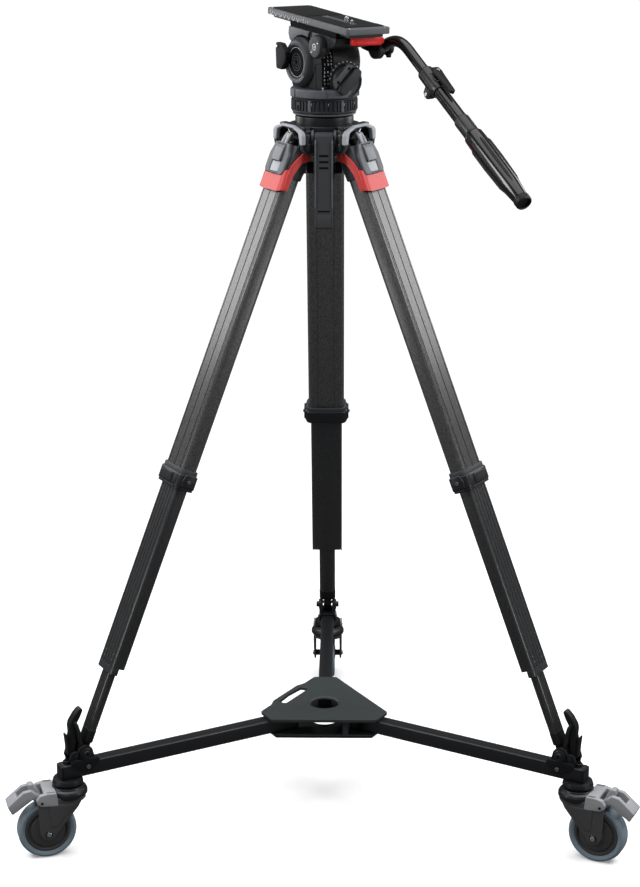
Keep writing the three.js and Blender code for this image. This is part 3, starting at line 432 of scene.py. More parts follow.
for s in SIDES:
    A = ARM(s)
    p = Piece("arm_look_" + s, "dolly", ["blackmetal", "black", "midgrey"], "dolly_arm_" + s, A)
    sq = arc(12.5 - 2.6, -(12.7 - 2.6), 2.6, -90, 0, 4) + arc(9.9, 10.1, 2.6, 0, 90, 4) + arc(-9.9, 10.1, 2.6, 90, 180, 4) + arc(-9.9, -10.1, 2.6, 180, 270, 4)
    p.slabX([(y, z + 151.2) for y, z in sq], 60, 511, bevel=0.6)
    p.slabX([(y * 0.96, z * 0.96 + 151.2) for y, z in sq], 510, 515, mi=1, bevel=1.6)
    p.lathe([(6.6, 126.9), (23, 126.9), (26, 129), (26.6, 132), (24.4, 138.8), (6.6, 138.8)], T(500, 0, 0), 48, 1, r=0.8)
    p.screw(7, T(500, 0, 163.6), 1)
    p.done()

    P, Z = 472.0, 182.0
    p = Piece("foot_clamp_look_" + s, "dolly", ["black", "blackmetal", "midgrey"], "foot_clamp_" + s, A)
    ear = fillet([(P - 18, 164.2), (P + 16, 164.2), (P + 16, 176), (P + 13, 188), (P + 7, 194.5), (P, 196.5), (P - 7, 194.5), (P - 13, 188), (P - 16, 176)], 3.5, 4)
    skirt = fillet([(P - 9, 147), (P + 2, 147), (P + 26, 164), (P + 24, 172), (P - 22, 172), (P - 26, 165)], 3.5, 4)
    lug = fillet([(P + 8, 168), (P + 25, 168), (P + 28, 176), (P + 25, 186), (P + 17, 188), (P + 8, 184)], 3, 4)
    for k in (-1, 1):
        y0, y1 = (9.5, 15.5) if k > 0 else (-15.5, -9.5)
        p.slabY(ear, y0, y1, bevel=1.1)
        p.slabY(lug, y0, y1, bevel=1.0)
        y0, y1 = (12.8, 16.6) if k > 0 else (-16.6, -12.8)
        p.slabY(skirt, y0, y1, bevel=1.0)
        m = T(P, k * 15.4, Z) @ RX(-90 * k)
        p.lathe([(0, 0), (10.2, 0), (10.2, 1.6), (8.6, 2.4), (0, 2.4)], m, 40, 1)
        p.screw(5.6, m @ T(0, 0, 2.3), 1)
        m = T(P - 4, k * 16.5, 157) @ RX(-90 * k)
        p.screw(3.4, m, 2)
        m = T(P + 18, k * 15.4, 180) @ RX(-90 * k)
        p.lathe([(0, 0), (3.6, 0), (3.6, 1.2), (0, 1.6)], m, 24, 1)
    p.box(P + 14, P + 25, -15, 15, 164.2, 168, bevel=0.8)
    p.box(P - 21, P - 15, -13, 13, 164.2, 167.5, bevel=0.8)
    p.done()

    L = A @ T(P + 18, 0, 180)
    p = Piece("clamp_lever_look_" + s, "clamp_lever_" + s, ["black", "blackmetal"], "clamp_lever_" + s, L)
    lev = [(-4, -6), (4, -6), (7, 4), (7, 30), (5, 40), (6, 52), (4, 60), (-4, 72), (-12, 80), (-17, 82), (-19, 77), (-14, 66), (-8, 56), (-6.4, 48), (-6, 40), (-4, 24), (-3, 6), (-4, 0)]
    p.slabY(fillet(lev, 4, 4), -7.5, 7.5, bevel=1.8, res=4)
    SW = Matrix(((1, 0, 0, 0), (0, 0, 1, 0), (0, 1, 0, 0), (0, 0, 0, 1)))
    for k in (-1, 1):  # links down to the pivot, and the thin outer plates
        p.sweep([(-2, 60, k * 7.6), (-6, 52, k * 8.6), (-9, 40, k * 9.2), (-11, 26, k * 9.2), (-12.5, 16, k * 9.0)], [3.0, 3.6, 3.6, 3.4, 2.6], SW, 24, 1)
    p.slabY(fillet([(7, 2), (10, 0), (11, 20), (13, 38), (10.6, 39), (8, 28)], 1, 3), -6.5, 6.5, bevel=0.8)
    p.rod(3, -9.3, 9.3, RX(90), mi=1)
    p.done()

    K = FORK(s)
    p = Piece("fork_look_" + s, "fork_" + s, ["fork", "blackmetal", "pedal", "steel"], "caster_fork_" + s, K)
    p.lathe([(0, 108), (30, 108), (33, 111.5), (33, 117), (31, 121), (27.5, 123), (26.5, 126.3), (0, 126.3)], T(0, 0, 0), 56, 1, r=0.8)
    p.prism(fillet([(-20, -26), (45, -27.5), (45, 27.5), (-20, 26), (-28, 14), (-28, -14)], 6, 4), 103.8, 113, bevel=1.8, res=3)
    p.box(24, 45, -28.5, 28.5, 118, 124.6, bevel=1.6, r=3, mi=2)
    hou = fillet([(21, 100), (50, 102), (57, 107), (58, 114), (52, 122), (40, 124.6), (24, 124.6)], 3, 4)
    for k in (-1, 1):
        p.slabY(hou, 20.4 if k > 0 else -29.6, 29.6 if k > 0 else -20.4, bevel=1.6, res=3, mi=2)
        m = T(49, k * 29.4, 108.5) @ RX(-90 * k)
        p.lathe([(0, 0), (2.6, 0), (2.2, 1), (0, 1)], m, 24, 1)
    chk = fillet([(-22, 112.5), (-13, 95), (25, 49), (30, 41), (39, 37), (48, 41), (53, 50), (54.5, 72), (55.5, 104), (53, 112.8)], 5, 4)
    p.slabY(chk, -28, -24, bevel=1.4, res=3)
    p.slabY(chk, 24, 28, bevel=1.4, res=3)
    for k in (-1, 1):
        m = T(TRAIL, k * 27.6, 50) @ RX(-90 * k)
        p.lathe([(0, 0), (6.4, 0), (6.4, 0.9), (5.8, 1.4), (0, 1.4)], m, 36, 1)
        p.lathe([(0, 1.2), (4.2, 1.2), (4.2, 3.2), (3.2, 3.9), (0, 3.9)], m, 24, 3)
        p.slabY(fillet([(-9, 102), (37, 102), (34, 62), (25, 62)], 5, 4), 27.6 if k > 0 else -29, 29 if k > 0 else -27.6, bevel=0.6)
    p.rod(6, -24.5, 24.5, T(TRAIL, 0, 50) @ RX(90))
    p.done()
    Wm = K @ T(TRAIL, 0, 50) @ RX(90)
    p = Piece("tyre_look_" + s, "wheel_" + s, ["tyre"], "tyre_" + s, Wm)
    p.lathe([(38.2, -12.6), (45, -14.5), (48.6, -12.6), (50, -8), (50, 8), (48.6, 12.6), (45, 14.5), (38.2, 12.6)], seg=96, r=2.2, n=4)
    p.done()
    p = Piece("hub_look_" + s, "wheel_" + s, ["fork", "blackmetal", "midgrey"], "wheel_hub_" + s, Wm)
    p.lathe([(6.2, -15.6), (12, -15.6), (13, -14.4), (28.6, -13.6), (29.6, -10.4), (33, -10.4), (34, -13.6), (38, -13.2), (38, 13.2), (34, 13.6), (33, 10.4), (29.6, 10.4), (28.6, 13.6), (13, 14.4), (12, 15.6), (6.2, 15.6)], seg=72, r=0.9)
    p.done()
    Q = K @ T(TRAIL + 10, 0, 108.5)
    p = Piece("pedal_look_" + s, "pedal_" + s, ["pedal", "midgrey"], "brake_pedal_" + s, Q)
    p.slabY(fillet([(6, -1), (14, 3), (49, -21), (57, -5), (29, 18), (16, 20), (6, 10)], 3, 4), -18, -9, bevel=1.6, res=3)
    p.slabY(fillet([(6, -1), (14, 3), (49, -21), (57, -5), (29, 18), (16, 20), (6, 10)], 3, 4), 9, 18, bevel=1.6, res=3)
    p.slabY(fillet([(6, -1), (14, 3), (18, 0), (22, 6), (14.6, 12), (6, 10)], 2, 4), -10, 10, bevel=1.0)
    p.slabY(fillet([(36, -12), (49, -21), (57, -5), (40, 9), (35, 3)], 3, 4), -10, 10, bevel=1.4)
    p.slabY(fillet([(-3, -3.5), (8, -3.5), (16, 4), (16, 20), (6, 12), (-3, 3.5)], 2.4, 3), -17, 17, bevel=1.4)
    p.slabY(fillet([(6, 8), (20, 16), (20, 27), (12, 27.5), (3, 14)], 2, 3), -8, 8, bevel=1.4)
    p.rod(2.4, -27, 27, RX(90), mi=1)
    p.done()

# ---------------------------------------------------------------- crown
p = Piece("crown_look", "crown", ["dark", "light", "blackmetal", "midgrey", "void"], "crown", F0)
p.lathe([(17, 1166), (30, 1167), (39, 1175), (44.5, 1189), (52, 1199.4), (59, 1202.4), (60, 1205), (60, 1213.6), (58.6, 1214.6), (51, 1214.6), (50, 1213.6), (40, 1190), (29, 1180), (17, 1174)], seg=96, mi=2, r=1.2)
arch_o = [(-50.5, 1187), (-50.5, 1203.6), (-45, 1208.5), (-36.8, 1211.5), (-16, 1216), (16, 1216), (36.8, 1211.5), (45, 1208.5), (50.5, 1203.6), (50.5, 1187)]
arch_i = [(40.6, 1187), (40.6, 1191), (37, 1205), (17, 1211.4), (-17, 1211.4), (-37, 1205), (-40.6, 1191), (-40.6, 1187)]
arch = fillet(arch_o + arch_i, [2] + [6] * 8 + [2, 2] + [7] * 6 + [2], 5)
for A in (90, 210, 330):
    m = RZ(A)
    p.slabX(arch, 52, 63.5, m, bevel=0.8, mi=2)
    p.slabX(arch, 63, 70.4, m, bevel=1.4, res=3, mi=1)
    p.slabY(fillet([(50, 1207.6), (62, 1206.6), (62, 1215.4), (50, 1216)], 1, 2), -42, 42, m, bevel=0.6, mi=2)
    for k in (-1, 1):
        q = T(56.4, k * 49.6, 1182) @ RX(-90 * k)
        p.lathe([(0, 0), (7, 0), (7, 1.4), (6, 2), (0, 2)], m @ q, 32, 2)
        # side cheek down to the hinge
        y0, y1 = (40.7, 49.8) if k > 0 else (-49.8, -40.7)
        if A != 90 and ((A == 210) == (k > 0)):
            y0, y1 = (40.7, 46.4) if k > 0 else (-46.4, -40.7)
        p.slabY(fillet([(36, 1184), (48, 1171), (63, 1171), (68, 1178), (70, 1190), (70, 1203), (52, 1212)], 4, 4), y0, y1, m, bevel=1.2)
    # column between two legs
    n = RZ(A + 180)
    p.prism(fillet([(38, -22), (58, -16), (58, 16), (38, 22)], 3, 3), 1169, 1209, n, bevel=1.4)
    for k in (-1, 1):
        y0, y1 = (16.2, 20.4) if k > 0 else (-20.4, -16.2)
        if A == 90:
            p.slabY(fillet([(52, 1172), (60, 1170), (64, 1178), (68, 1192), (72, 1197), (74, 1203), (72, 1208.6), (66, 1210), (52, 1210)], 3.5, 4), y0, y1, n, bevel=1.0, mi=3)
p.done()
p = Piece("tie_knob_look", "tie_down", ["black", "blackmetal"], "tie_down_knob", F0)
p.lathe([(0, 1096), (8, 1096), (14, 1099), (15.5, 1104), (16, 1118), (19, 1126), (19, 1150), (21, 1160), (8, 1162.6), (0, 1162.6)], seg=64, r=2)
for i in range(6):
    p.slabX(fillet([(-4.5, 1130), (4.5, 1130), (4.5, 1149), (-4.5, 1149)], 2, 3), 16, 30, RZ(i * 60), bevel=2.2)
p.done()
H = F0 @ T(0, -68.5, 1203)
p = Piece("carry_handle_look", "carry_handle", ["dark", "void", "midgrey"], "carry_handle", H)
prof = [(6, -2), (6, -121), (4, -125), (4, -150), (1, -154.5), (-6, -154.5), (-8.5, -151), (-8.5, -40), (-7, -2), (-5, 3), (0, 5), (4, 3)]
p.slabX(fillet(prof, 1.6, 3), -15, 15, bevel=1.6, res=3)
for k in (-1, 1):
    y0, y1 = (12.6, 15.2) if k > 0 else (-15.2, -12.6)
    p.slabX(fillet([(-7, -6), (-9.9, -12), (-10.2, -40), (-9.9, -118), (-8, -122), (-7, -60)], 1.2, 2), y0, y1, bevel=0.8, mi=2)
for z in (-33, -43, -53):
    p.box(-7.5, 7.5, -8.9, -8.3, z - 1.7, z + 1.7, bevel=0.2, mi=1)
p.box(-10, 10, -8.9, -8.3, z - 73, z - 70.6, bevel=0.2, mi=1)
p.box(-12, 12, -9.6, -8.3, -152, -131, bevel=0.5)
p.rod(2.4, -20, 20, RY(90))
p.done()

# ---------------------------------------------------------------- legs
def tube_outline(hx, hy, r, outer_ribs, n=6, inner=None):
    """Outline (x outwards, y across) with grooves or ribs [(y, half width, depth)] on the outer face."""
    pts = arc(hx - r, -(hy - r), r, -90, 0, n)
    for y, w, d in outer_ribs:
        pts += [(hx, y - w), (hx - d, y - w + 0.5), (hx - d, y + w - 0.5), (hx, y + w)]
    pts += arc(hx - r, hy - r, r, 0, 90, n) + arc(-(hx - r), hy - r, r, 90, 180, n)
    if inner:
        y, d = inner
        pts += [(-hx, y), (-hx + d, y - 0.8), (-hx + d, -y + 0.8), (-hx, -y)]
    return pts + arc(-(hx - r), -(hy - r), r, 180, 270, n)


for s in SIDES:
    Hn = HINGE(s)
    leg, mid, low = "leg_" + s, "leg_mid_" + s, "leg_low_" + s
    p = Piece("upper_look_" + s, leg, ["carbon", "blackmetal", "dark", "midgrey"], "leg_upper_" + s, Hn)
    o = tube_outline(15, 33, 9, [(-22, 1.3, 1.2), (0, 1.3, 1.2), (22, 1.3, 1.2)], 8, (17, 1.2))
    p.prism(o, -575, -41.2, holes=[rrect(12.6, 29.6, 6.5)], bevel=0.3)
    co = rrect(19.5, 40, 12, 8)
    hole = rrect(12.4, 29.4, 6.3, 8)
    p.prism(co, -600, -577, holes=[hole], bevel=1.8, res=3, mi=1)
    p.prism(rrect(17.4, 37, 10.6, 8), -578, -569, holes=[rrect(15.1, 33.1, 9, 8)], bevel=0.8, mi=2)
    p.prism(rrect(18.2, 38.4, 11.2, 8), -604, -599, holes=[hole], bevel=1.0, mi=1)
    for k in (-1, 1):
        y0, y1 = (38, 41.6) if k > 0 else (-41.6, -38)
        p.slabY(fillet([(-11, -598), (10, -598), (12, -587), (8, -575), (-8, -575), (-13, -587)], 3, 4), y0, y1, bevel=1.2, mi=1)
        p.screw(3, T(0, k * 41.2, -587) @ RX(-90 * k), 3)
    p.slabX(fillet([(-16, -597), (16, -597), (16, -580), (-16, -580)], 3, 3), 18.5, 21, bevel=0.8, mi=1)
    p.done()

    p = Piece("shoulder_look_" + s, leg, ["dark", "light", "blackmetal", "midgrey", "void"], "leg_shoulder_" + s, Hn)
    p.rod(8.5, -36.4, 36.4, RX(90), mi=2)
    p.rod(5.2, -49, 49, RX(90), mi=2)
    p.slabX(fillet([(-36.2, -3), (36.2, -3), (36.4, -40), (35, -56.5), (-35, -56.5), (-36.4, -40)], 3, 4), -15, 15.2, bevel=2.6, res=4)
    side = fillet([(-14, -6), (-8, 6), (0, 8.6), (8, 6), (14, -6), (17, -36), (17, -56), (5, -56), (-2, -44), (-12, -26)], 4, 4)
    for k in (-1, 1):
        y0, y1 = (34.4, 36.6) if k > 0 else (-36.6, -34.4)
        p.slabY(side, y0, y1, bevel=0.8)
    face = fillet([(-24, -3), (24, -3), (32, -24), (32, -50), (28, -57), (-28, -57), (-32, -50), (-32, -24)], 5, 5)
    rec = fillet([(-14.2, -53.6), (14.2, -53.6), (14.2, -5), (-14.2, -5)], 2, 3)
    p.slabX(face, 14.5, 22.5, holes=[rec], bevel=2.0, res=3, mi=3)
    p.slabX(rec, 14.6, 17.4, bevel=0.1, mi=4)
    # light lip below the lever
    p.slabX(fillet([(-13.6, -53.4), (13.6, -53.4), (13.6, -35.6), (-13.6, -35.6)], 2, 3), 17, 22, bevel=1.2, mi=1)
    # strap of the brake linkage, rising into the arch
    p.sweep([(15, 0, 16), (17, 0, 11), (18.6, 0, 4), (19.6, 0, -3), (19.6, 0, -9)], [2.6, 2.8, 3, 3, 2.8], T(0, -6, 0), 20, 1)
    p.sweep([(15, 0, 16), (17, 0, 11), (18.6, 0, 4), (19.6, 0, -3), (19.6, 0, -9)], [2.6, 2.8, 3, 3, 2.8], T(0, 6, 0), 20, 1)
    p.slabX(fillet([(-8, -10), (8, -10), (8, 14), (-8, 14)], 3, 3), 14.5, 18.5, bevel=1.4, mi=1)
    for k in (-1, 1):  # ribbed boots beside the brake rods
        for j in range(4):
            p.lathe([(0, 0), (5.8 - j * 0.35, 0), (5.8 - j * 0.35, 2.2), (0, 2.2)], T(13, k * 19, -3 + j * 2.9), 28, 4, r=0.8)
    p.done()

    # red band, from one side round the outer face to the other
    path = [(6, 40), (8.5, 40)] + arc(8.5, 28, 12, 90, 0, 8)[1:] + [(20.5, 22), (20.5, 15), (20.5, 8), (20.5, 0)]
    path += [(x, -y) for x, y in path[-2::-1]]
    V, Fc = [], []
    for i, (x, y) in enumerate(path):
        a = abs(y)
        if x > 20.4:
            d = Vector((1, 0))
        elif x > 8.4 and a > 28:
            d = (Vector((x, a)) - Vector((8.5, 28))).normalized()
            d = Vector((d.x, d.y if y > 0 else -d.y))
        else:
            d = Vector((0, 1 if y > 0 else -1))
        q = Vector((x, y)) - d * 2.6
        zt = -52.5 + 9 * max(0, (a - 10) / 28) ** 2 if a < 38.2 else -44
        zt = max(-57.4 if a < 12 else -57.0 + 12.5 * min(1, (a - 12) / 25) ** 1.6, -57.4)
        zb = -84 + 5.5 * max(0, (a - 22) / 18) ** 2
        if x < 20.4 and a > 38:
            zt = -45 + (x - 15) * 1.2 if x > 10 else -50
        V += [(x, y, zb), (x, y, zt), (q.x, q.y, zt), (q.x, q.y, zb)]
        if i:
            for k in range(4):
                a_, b_ = (i - 1) * 4 + k, (i - 1) * 4 + (k + 1) % 4
                Fc.append((a_, b_, b_ + 4, a_ + 4))
    Fc += [(3, 2, 1, 0), tuple(len(V) - 4 + k for k in range(4))]
    p = Piece("band_look_" + s, leg, ["red"], "leg_band_" + s, Hn, sharp=50)
    p.raw(V, Fc)
    strap = [(13, -79), (15.4, -58), (15, -40), (13, -33), (8.3, -23.5), (-1, -7), (-5, -4.4), (-10, -4.6), (-14, -9), (-14.6, -17), (-11, -23), (-4.2, -27), (0.4, -37), (4.2, -50), (5.4, -64), (7.6, -76)]
    for k in (-1, 1):
        y0, y1 = (36.9, 40.2) if k > 0 else (-40.2, -36.9)
        p.slabY(fillet(strap, 3, 4), y0, y1, bevel=0.9, res=3)
        p.lathe([(0, 0), (4.6, 0), (4.6, 1.4), (3.6, 2.0), (0, 2.0)], T(-8, k * 38.6, -12.5) @ RX(-90 * k), 28)
    ob = p.done()

    B = Hn @ T(20.8, 0, -10)
    p = Piece("leg_brake_look_" + s, "leg_brake_" + s, ["lever", "dark"], "leg_brake_lever_" + s, B)
    p.slabY(fillet([(-3, 0), (0, 3), (3, 2.5), (5, -3), (5.4, -18), (5, -25), (2, -25.4), (0.6, -20), (-2.6, -6)], 1.2, 3), -13.8, 13.8, bevel=1.3, res=3)
    p.done()

    p = Piece("middle_look_" + s, mid, ["carbon2", "blackmetal", "midgrey"], "leg_middle_" + s, Hn)
    o = tube_outline(12.1, 29.1, 6.2, [(-19, 1.6, 0.9), (-9.5, 1.6, 0.9), (0, 1.6, 0.9), (9.5, 1.6, 0.9), (19, 1.6, 0.9)], 6)
    p.prism(o, -926, -393.2, holes=[rrect(9.9, 26.9, 4.6)], bevel=0.3)
    half = [(0, -29.1), (5.9, -29.1)] + arc(5.9, -22.9, 6.2, -90, 0, 6)[1:] + arc(5.9, 22.9, 6.2, 0, 90, 6) + [(0, 29.1), (0, 26.9), (5.3, 26.9)] + arc(5.3, 22.3, 4.6, 90, 0, 5)[1:] + arc(5.3, -22.3, 4.6, 0, -90, 5) + [(0, -26.9)]
    p.prism(half, -938, -925.5, bevel=0.3)
    for y in (-14.2, 14.2):
        for z in (-916, -906):
            p.lathe([(0, 0), (1.6, 0), (1.2, 0.7), (0, 0.8)], T(11.9, y, z) @ RY(90), 16, 2)
    p.prism(rrect(11.8, 28.6, 6, 6), -924, -916, holes=[rrect(8.6, 17, 6)], bevel=0.4, mi=1)
    p.done()

    p = Piece("lower_look_" + s, low, ["carbon2", "black", "blackmetal"], "leg_lower_" + s, Hn)
    st = arc(0, 7.5, 8, 0, 180, 10) + arc(0, -7.5, 8, 180, 360, 10)
    p.prism(st, -1056, -545.2, bevel=0.4)
    for dy in (-9, -3, 3, 9):
        p.box(7.4, 8.5, dy - 1.1, dy + 1.1, -1042, -588, bevel=0.35)
    p.prism([(x * 1.07, y * 1.03) for x, y in st], -1064, -1042, bevel=1.4, res=3, mi=1)
    p.prism(rrect(9.5, 26.5, 4.4, 6), -585, -549, bevel=1, mi=1)
    p.slabY(fillet([(-8, -1062), (8, -1062), (9, -LEG_LEN + 6), (8, -LEG_LEN - 4), (3, -LEG_LEN - 8.6), (-3, -LEG_LEN - 8.6), (-8, -LEG_LEN - 4), (-9, -LEG_LEN + 6)], 3, 4), -6, 6, bevel=1.2, res=3, mi=1)
    for k in (-1, 1):
        p.lathe([(0, 0), (5, 0), (5, 1.2), (4.2, 1.8), (0, 1.8)], T(0, k * 5.8, -LEG_LEN) @ RX(-90 * k), 32, 2)
    p.done()

# ---------------------------------------------------------------- head
p = Piece("base_look", "crown", ["blackmetal", "midgrey", "black"], "half_ball_base", F0)
p.lathe([(0, 1163), (6, 1163), (6, 1168), (16, 1170), (16, 1175), (28.4, 1181), (39, 1191), (46.4, 1205), (48.7, 1214.6), (48.7, 1226.4), (47, 1229), (44, 1229.6), (44, 1233), (15.6, 1233), (15.6, 1272), (0, 1272)], seg=96, r=1.4)
p.lathe([(44, 1230), (51.6, 1230.3), (52.6, 1231.2), (52.6, 1232.8), (51.6, 1233.6), (44, 1233.6)], seg=96, mi=1, r=0.5)
p.done()
p = Piece("drag_ring_look", "drag_ring", ["housing", "light", "midgrey"], "pan_drag_ring", F0)
p.lathe([(16.4, 1234), (52, 1234), (54, 1235.2), (54, 1237.6), (52.6, 1239), (52.6, 1254), (54, 1255.4), (54.6, 1257.6), (53, 1258.6), (16.4, 1258.6)], seg=96, r=0.4)
for i in range(48):
    if i % 8 == 0:
        p.slabX(fillet([(-2.6, 1237.4), (2.6, 1237.4), (2.6, 1256), (-2.6, 1256)], 1, 2), 50, 55.5, RZ(i * 7.5 + 4), bevel=0.8, mi=2)
    else:
        p.slabX(fillet([(-1.6, 1238.6), (1.6, 1238.6), (1.6, 1254.6), (-1.6, 1254.6)], 1, 2), 50, 54.4, RZ(i * 7.5 + 4), bevel=0.7)
for i in range(12):
    p.slabX([(-0.5, 1248), (0.5, 1248), (0.5, 1252), (-0.5, 1252)], 54.2, 54.6, RZ(i * 30 + 7.75), bevel=0.1, mi=1)
p.done()

p = Piece("pan_body_look", "pan_head", ["housing", "midgrey", "void", "white", "light", "steel"], "pan_body", PAN)
p.lathe([(16.4, 1259.2), (55, 1259.2), (56.7, 1261), (56.7, 1271), (55, 1273.6), (48, 1274.6), (16.4, 1274.6)], seg=96, mi=1, r=0.8)
for a in (-100, -38, 150, 60):
    p.slabX(fillet([(-9, 1260), (9, 1260), (9, 1273), (-9, 1273)], 2, 3), 50, 57.6, RZ(a), bevel=1.0, mi=1)
p.slabX(fillet([(-40, 1273), (40, 1273), (43.5, 1285), (44, 1317), (-44, 1317), (-43.5, 1285)], 5, 5), -36, 41, bevel=3.0, res=4)
p.slabX(fillet([(-38, 1300), (38, 1300), (40, 1317), (36, 1340), (-36, 1340), (-40, 1317)], 8, 5), -20, 34, bevel=4, res=4)
dm = T(0, 0, TILT_Z) @ RX(90)
p.lathe([(0, -44), (38.5, -44), (41, -41.5), (41, 20.6), (40.2, 21), (40.2, 43.4), (0, 43.4)], dm, 96, 0)
# numbered drum between the cap and the rear face
p.lathe([(39.6, 8.4), (41.3, 8.4), (41.3, 30.6), (39.6, 30.6)], dm, 96, 2)
GLYPH = {
    "1": [(0, 0, 0.34, 1.5)], "7": [(0, 1.3, 1.0, 0.25), (0.75, 0, 0.28, 1.5)],
    "0": [(-0.75, 0, 0.28, 1.5), (0.75, 0, 0.28, 1.5), (0, 1.3, 1.0, 0.25), (0, -1.3, 1.0, 0.25)],
    "3": [(0.75, 0, 0.28, 1.5), (0, 1.3, 1.0, 0.25), (0, 0, 0.8, 0.22), (0, -1.3, 1.0, 0.25)],
    "5": [(-0.75, 0.7, 0.28, 0.8), (0.75, -0.7, 0.28, 0.8), (0, 1.3, 1.0, 0.25), (0, 0, 1.0, 0.22), (0, -1.3, 1.0, 0.25)],
}


def glyph(m, ch):
    """A numeral in the plane x = 0 of m: Y to the right, Z up."""
    for y, z, hy, hz in GLYPH[ch]:
        p.slabX([(y - hy, z - hz), (y + hy, z - hz), (y + hy, z + hz), (y - hy, z + hz)], 0, 0.3, m, bevel=0.04, mi=3)


p.slabX(fillet([(-30.5, 1279), (-8.5, 1279), (-8.5, 1318), (-30.5, 1318)], 1.5, 3), 40.4, 41.5, bevel=0.2, mi=2)
row = 0
for zz in (1283.5, 1289.8, 1296.1, 1302.4, 1308.7, 1315):
    for k, y in enumerate((-12.8, -19.4, -26)):
        if (row * 3 + k) % 7 != 6:
            glyph(T(41.4, y, zz), "05317"[(row + k * 2) % 5])
    row += 1
for i in range(12):
    a = 5.5 + i * 8.6
    for k, y in enumerate((-12.8, -19.4, -26)):
        if (row * 3 + k) % 7 != 6:
            glyph(T(0, 0, TILT_Z) @ RY(-a) @ T(41.2, y, 0), "05317"[(row + k * 2) % 5])
    row += 1
# end cap on the brake side
cm = T(0, -43.5, TILT_Z) @ RX(90)
p.lathe([(0, 0), (40.4, 0), (40.6, 3), (38.5, 7.5), (35, 11), (31, 12.4), (27.4, 12.4), (26.2, 11.6), (25.8, 10.2), (0, 10.2)], cm, 96, 0, r=0.8)
p.lathe([(0, 10.1), (25.6, 10.1), (25.6, 10.6), (0, 10.9)], cm, 72, 2)
p.lathe([(23.4, 10.5), (24.3, 10.5), (24.3, 11.0), (23.4, 11.0)], cm, 72, 4)
for i in range(3):
    p.lathe([(13.4 - i * 4.2, 10.7), (14.0 - i * 4.2, 10.7), (14.0 - i * 4.2, 11.0), (13.4 - i * 4.2, 11.0)], cm, 56, 1)
# painted highlight: a mid grey crescent along the lower part of the cap's ring stands in for a highlight; it is not a
# part of its own
cap_highlight_dirs = [(math.cos(math.radians(a)), math.sin(math.radians(a))) for a in range(200, 322, 6)]
cap_painted_highlight = [(33.8 * c, 33.8 * s_) for c, s_ in cap_highlight_dirs] + [(28.2 * c, 28.2 * s_) for c, s_ in cap_highlight_dirs[::-1]]
p.prism(cap_painted_highlight, 11.4, 12.7, cm, bevel=0.3, mi=1)
# operator's end: ring and cover
om = T(0, 43.5, TILT_Z) @ RX(-90)
p.lathe([(0, 0), (40, 0), (38, 2.6), (30, 3.4), (0, 3.4)], om, 72, 0, r=0.8)
p.lathe([(0, 3.2), (17, 3.2), (16, 5), (0, 5.4)], om, 56, 0, r=0.5)
for i in range(6):
    p.screw(2.4, om @ RZ(i * 60 + 15) @ T(25, 0, 3.3), 5)
# rear face with the selector's scale
p.slabX(fillet([(-13, 1272), (34, 1272), (41, 1281), (41, 1304), (32, 1313), (-7, 1313), (-17, 1303), (-17, 1280)], 6, 5), 38, 46.6, bevel=2.0, res=3)
km = T(47.3, 12, 1287) @ RY(90)
for i in range(14):
    a = 78 + i * 14
    p.prism([(-1.0, -1.0), (1.0, -1.0), (1.0, 1.0), (-1.0, 1.0)], -0.9, -0.5, km @ RZ(a) @ T(31.2, 0, 0), bevel=0.1, mi=3)
for t, z in ((-30, 1328), (30, 1328), (-30, 1276)):
    p.screw(2.2, T(40.6 if z < 1300 else 33.6, t, z) @ RY(90), 5)
# level vial window in front
p.lathe([(0, 0), (9, 0), (9, 2.4), (7.6, 3), (0, 3)], T(-36, 8, 1287) @ RY(-90), 40, 1, r=0.5)
p.done()

p = Piece("selector_look", "counterbalance", ["housing", "midgrey", "void", "white"], "counterbalance_knob", PAN @ km)
p.lathe([(0, 0), (28, 0), (28, 4.5), (26, 8), (23.6, 8.6), (22.4, 6.4), (0, 6.4)], seg=84, r=0.8)
g = RZ(-45)
p.prism(fillet([(-26.5, -5), (-19, -9.5), (19, -9.5), (26.5, -5), (26.5, 5), (19, 9.5), (-19, 9.5), (-26.5, 5)], 3, 4), 5, 15, g, bevel=2.4, res=4)
p.prism(fillet([(-19, -22), (19, -22), (25.5, -11), (25.5, -10.4), (-25.5, -10.4), (-25.5, -11)], 2, 3), 6, 9.4, g, bevel=0.8, mi=1)
for x in (-15, 15):
    p.lathe([(0, 0), (2.6, 0), (2.6, 0.4), (0, 0.4)], g @ T(x, -14.5, 9.3), 24, 2)
p.done()

p = Piece("tilt_brake_look", "tilt_brake", ["brakelever", "midgrey", "steel"], "tilt_brake_lever", PAN @ T(-19, -61.2, TILT_Z + 8))
p.rod(4.2, -4.5, 6.6, RX(-90))
p.slabY(fillet([(-27, -21), (-10, -22), (3, -8), (4, 8), (-10, 21), (-26, 22), (-29, 18)], 4, 4), -5, 4.6, bevel=2.0, res=3)
p.screw(2.3, T(-22, -4.9, 16) @ RX(90), 2)
p.done()

p = Piece("cradle_look", "cradle", ["housing", "midgrey", "void", "light", "steel"], "tilt_cradle", TILT)
bed = 55.6
# saddle over the drum
ring = arc(0, 0, 42.6, 40, 140, 20)
front = [(-45, bed), (-46, 41), (-48, 33), (-42, 25)]
rear = [(43, 27), (56, 34), (82, 34), (92, 40), (94.5, bed)]
sad = front + [(x, z) for x, z in ring[::-1]] + rear
p.slabY(sad, -40, 40, bevel=2.0, res=3)
p.box(-46, 95, -41, 41, bed - 4, bed, bevel=0.9, r=3, mi=2)
for k in (-1, 1):
    y0, y1 = (33.2, 40.6) if k > 0 else (-40.6, -33.2)
    p.box(-46, 95, y0, y1, bed - 1, 61, bevel=0.9, mi=2)
p.slabY(fillet([(50, 52), (50, 38), (62, 28), (84, 26), (94, 34), (94.5, 52)], 5, 5), 30, 46.2, bevel=2.2, res=3, mi=2)
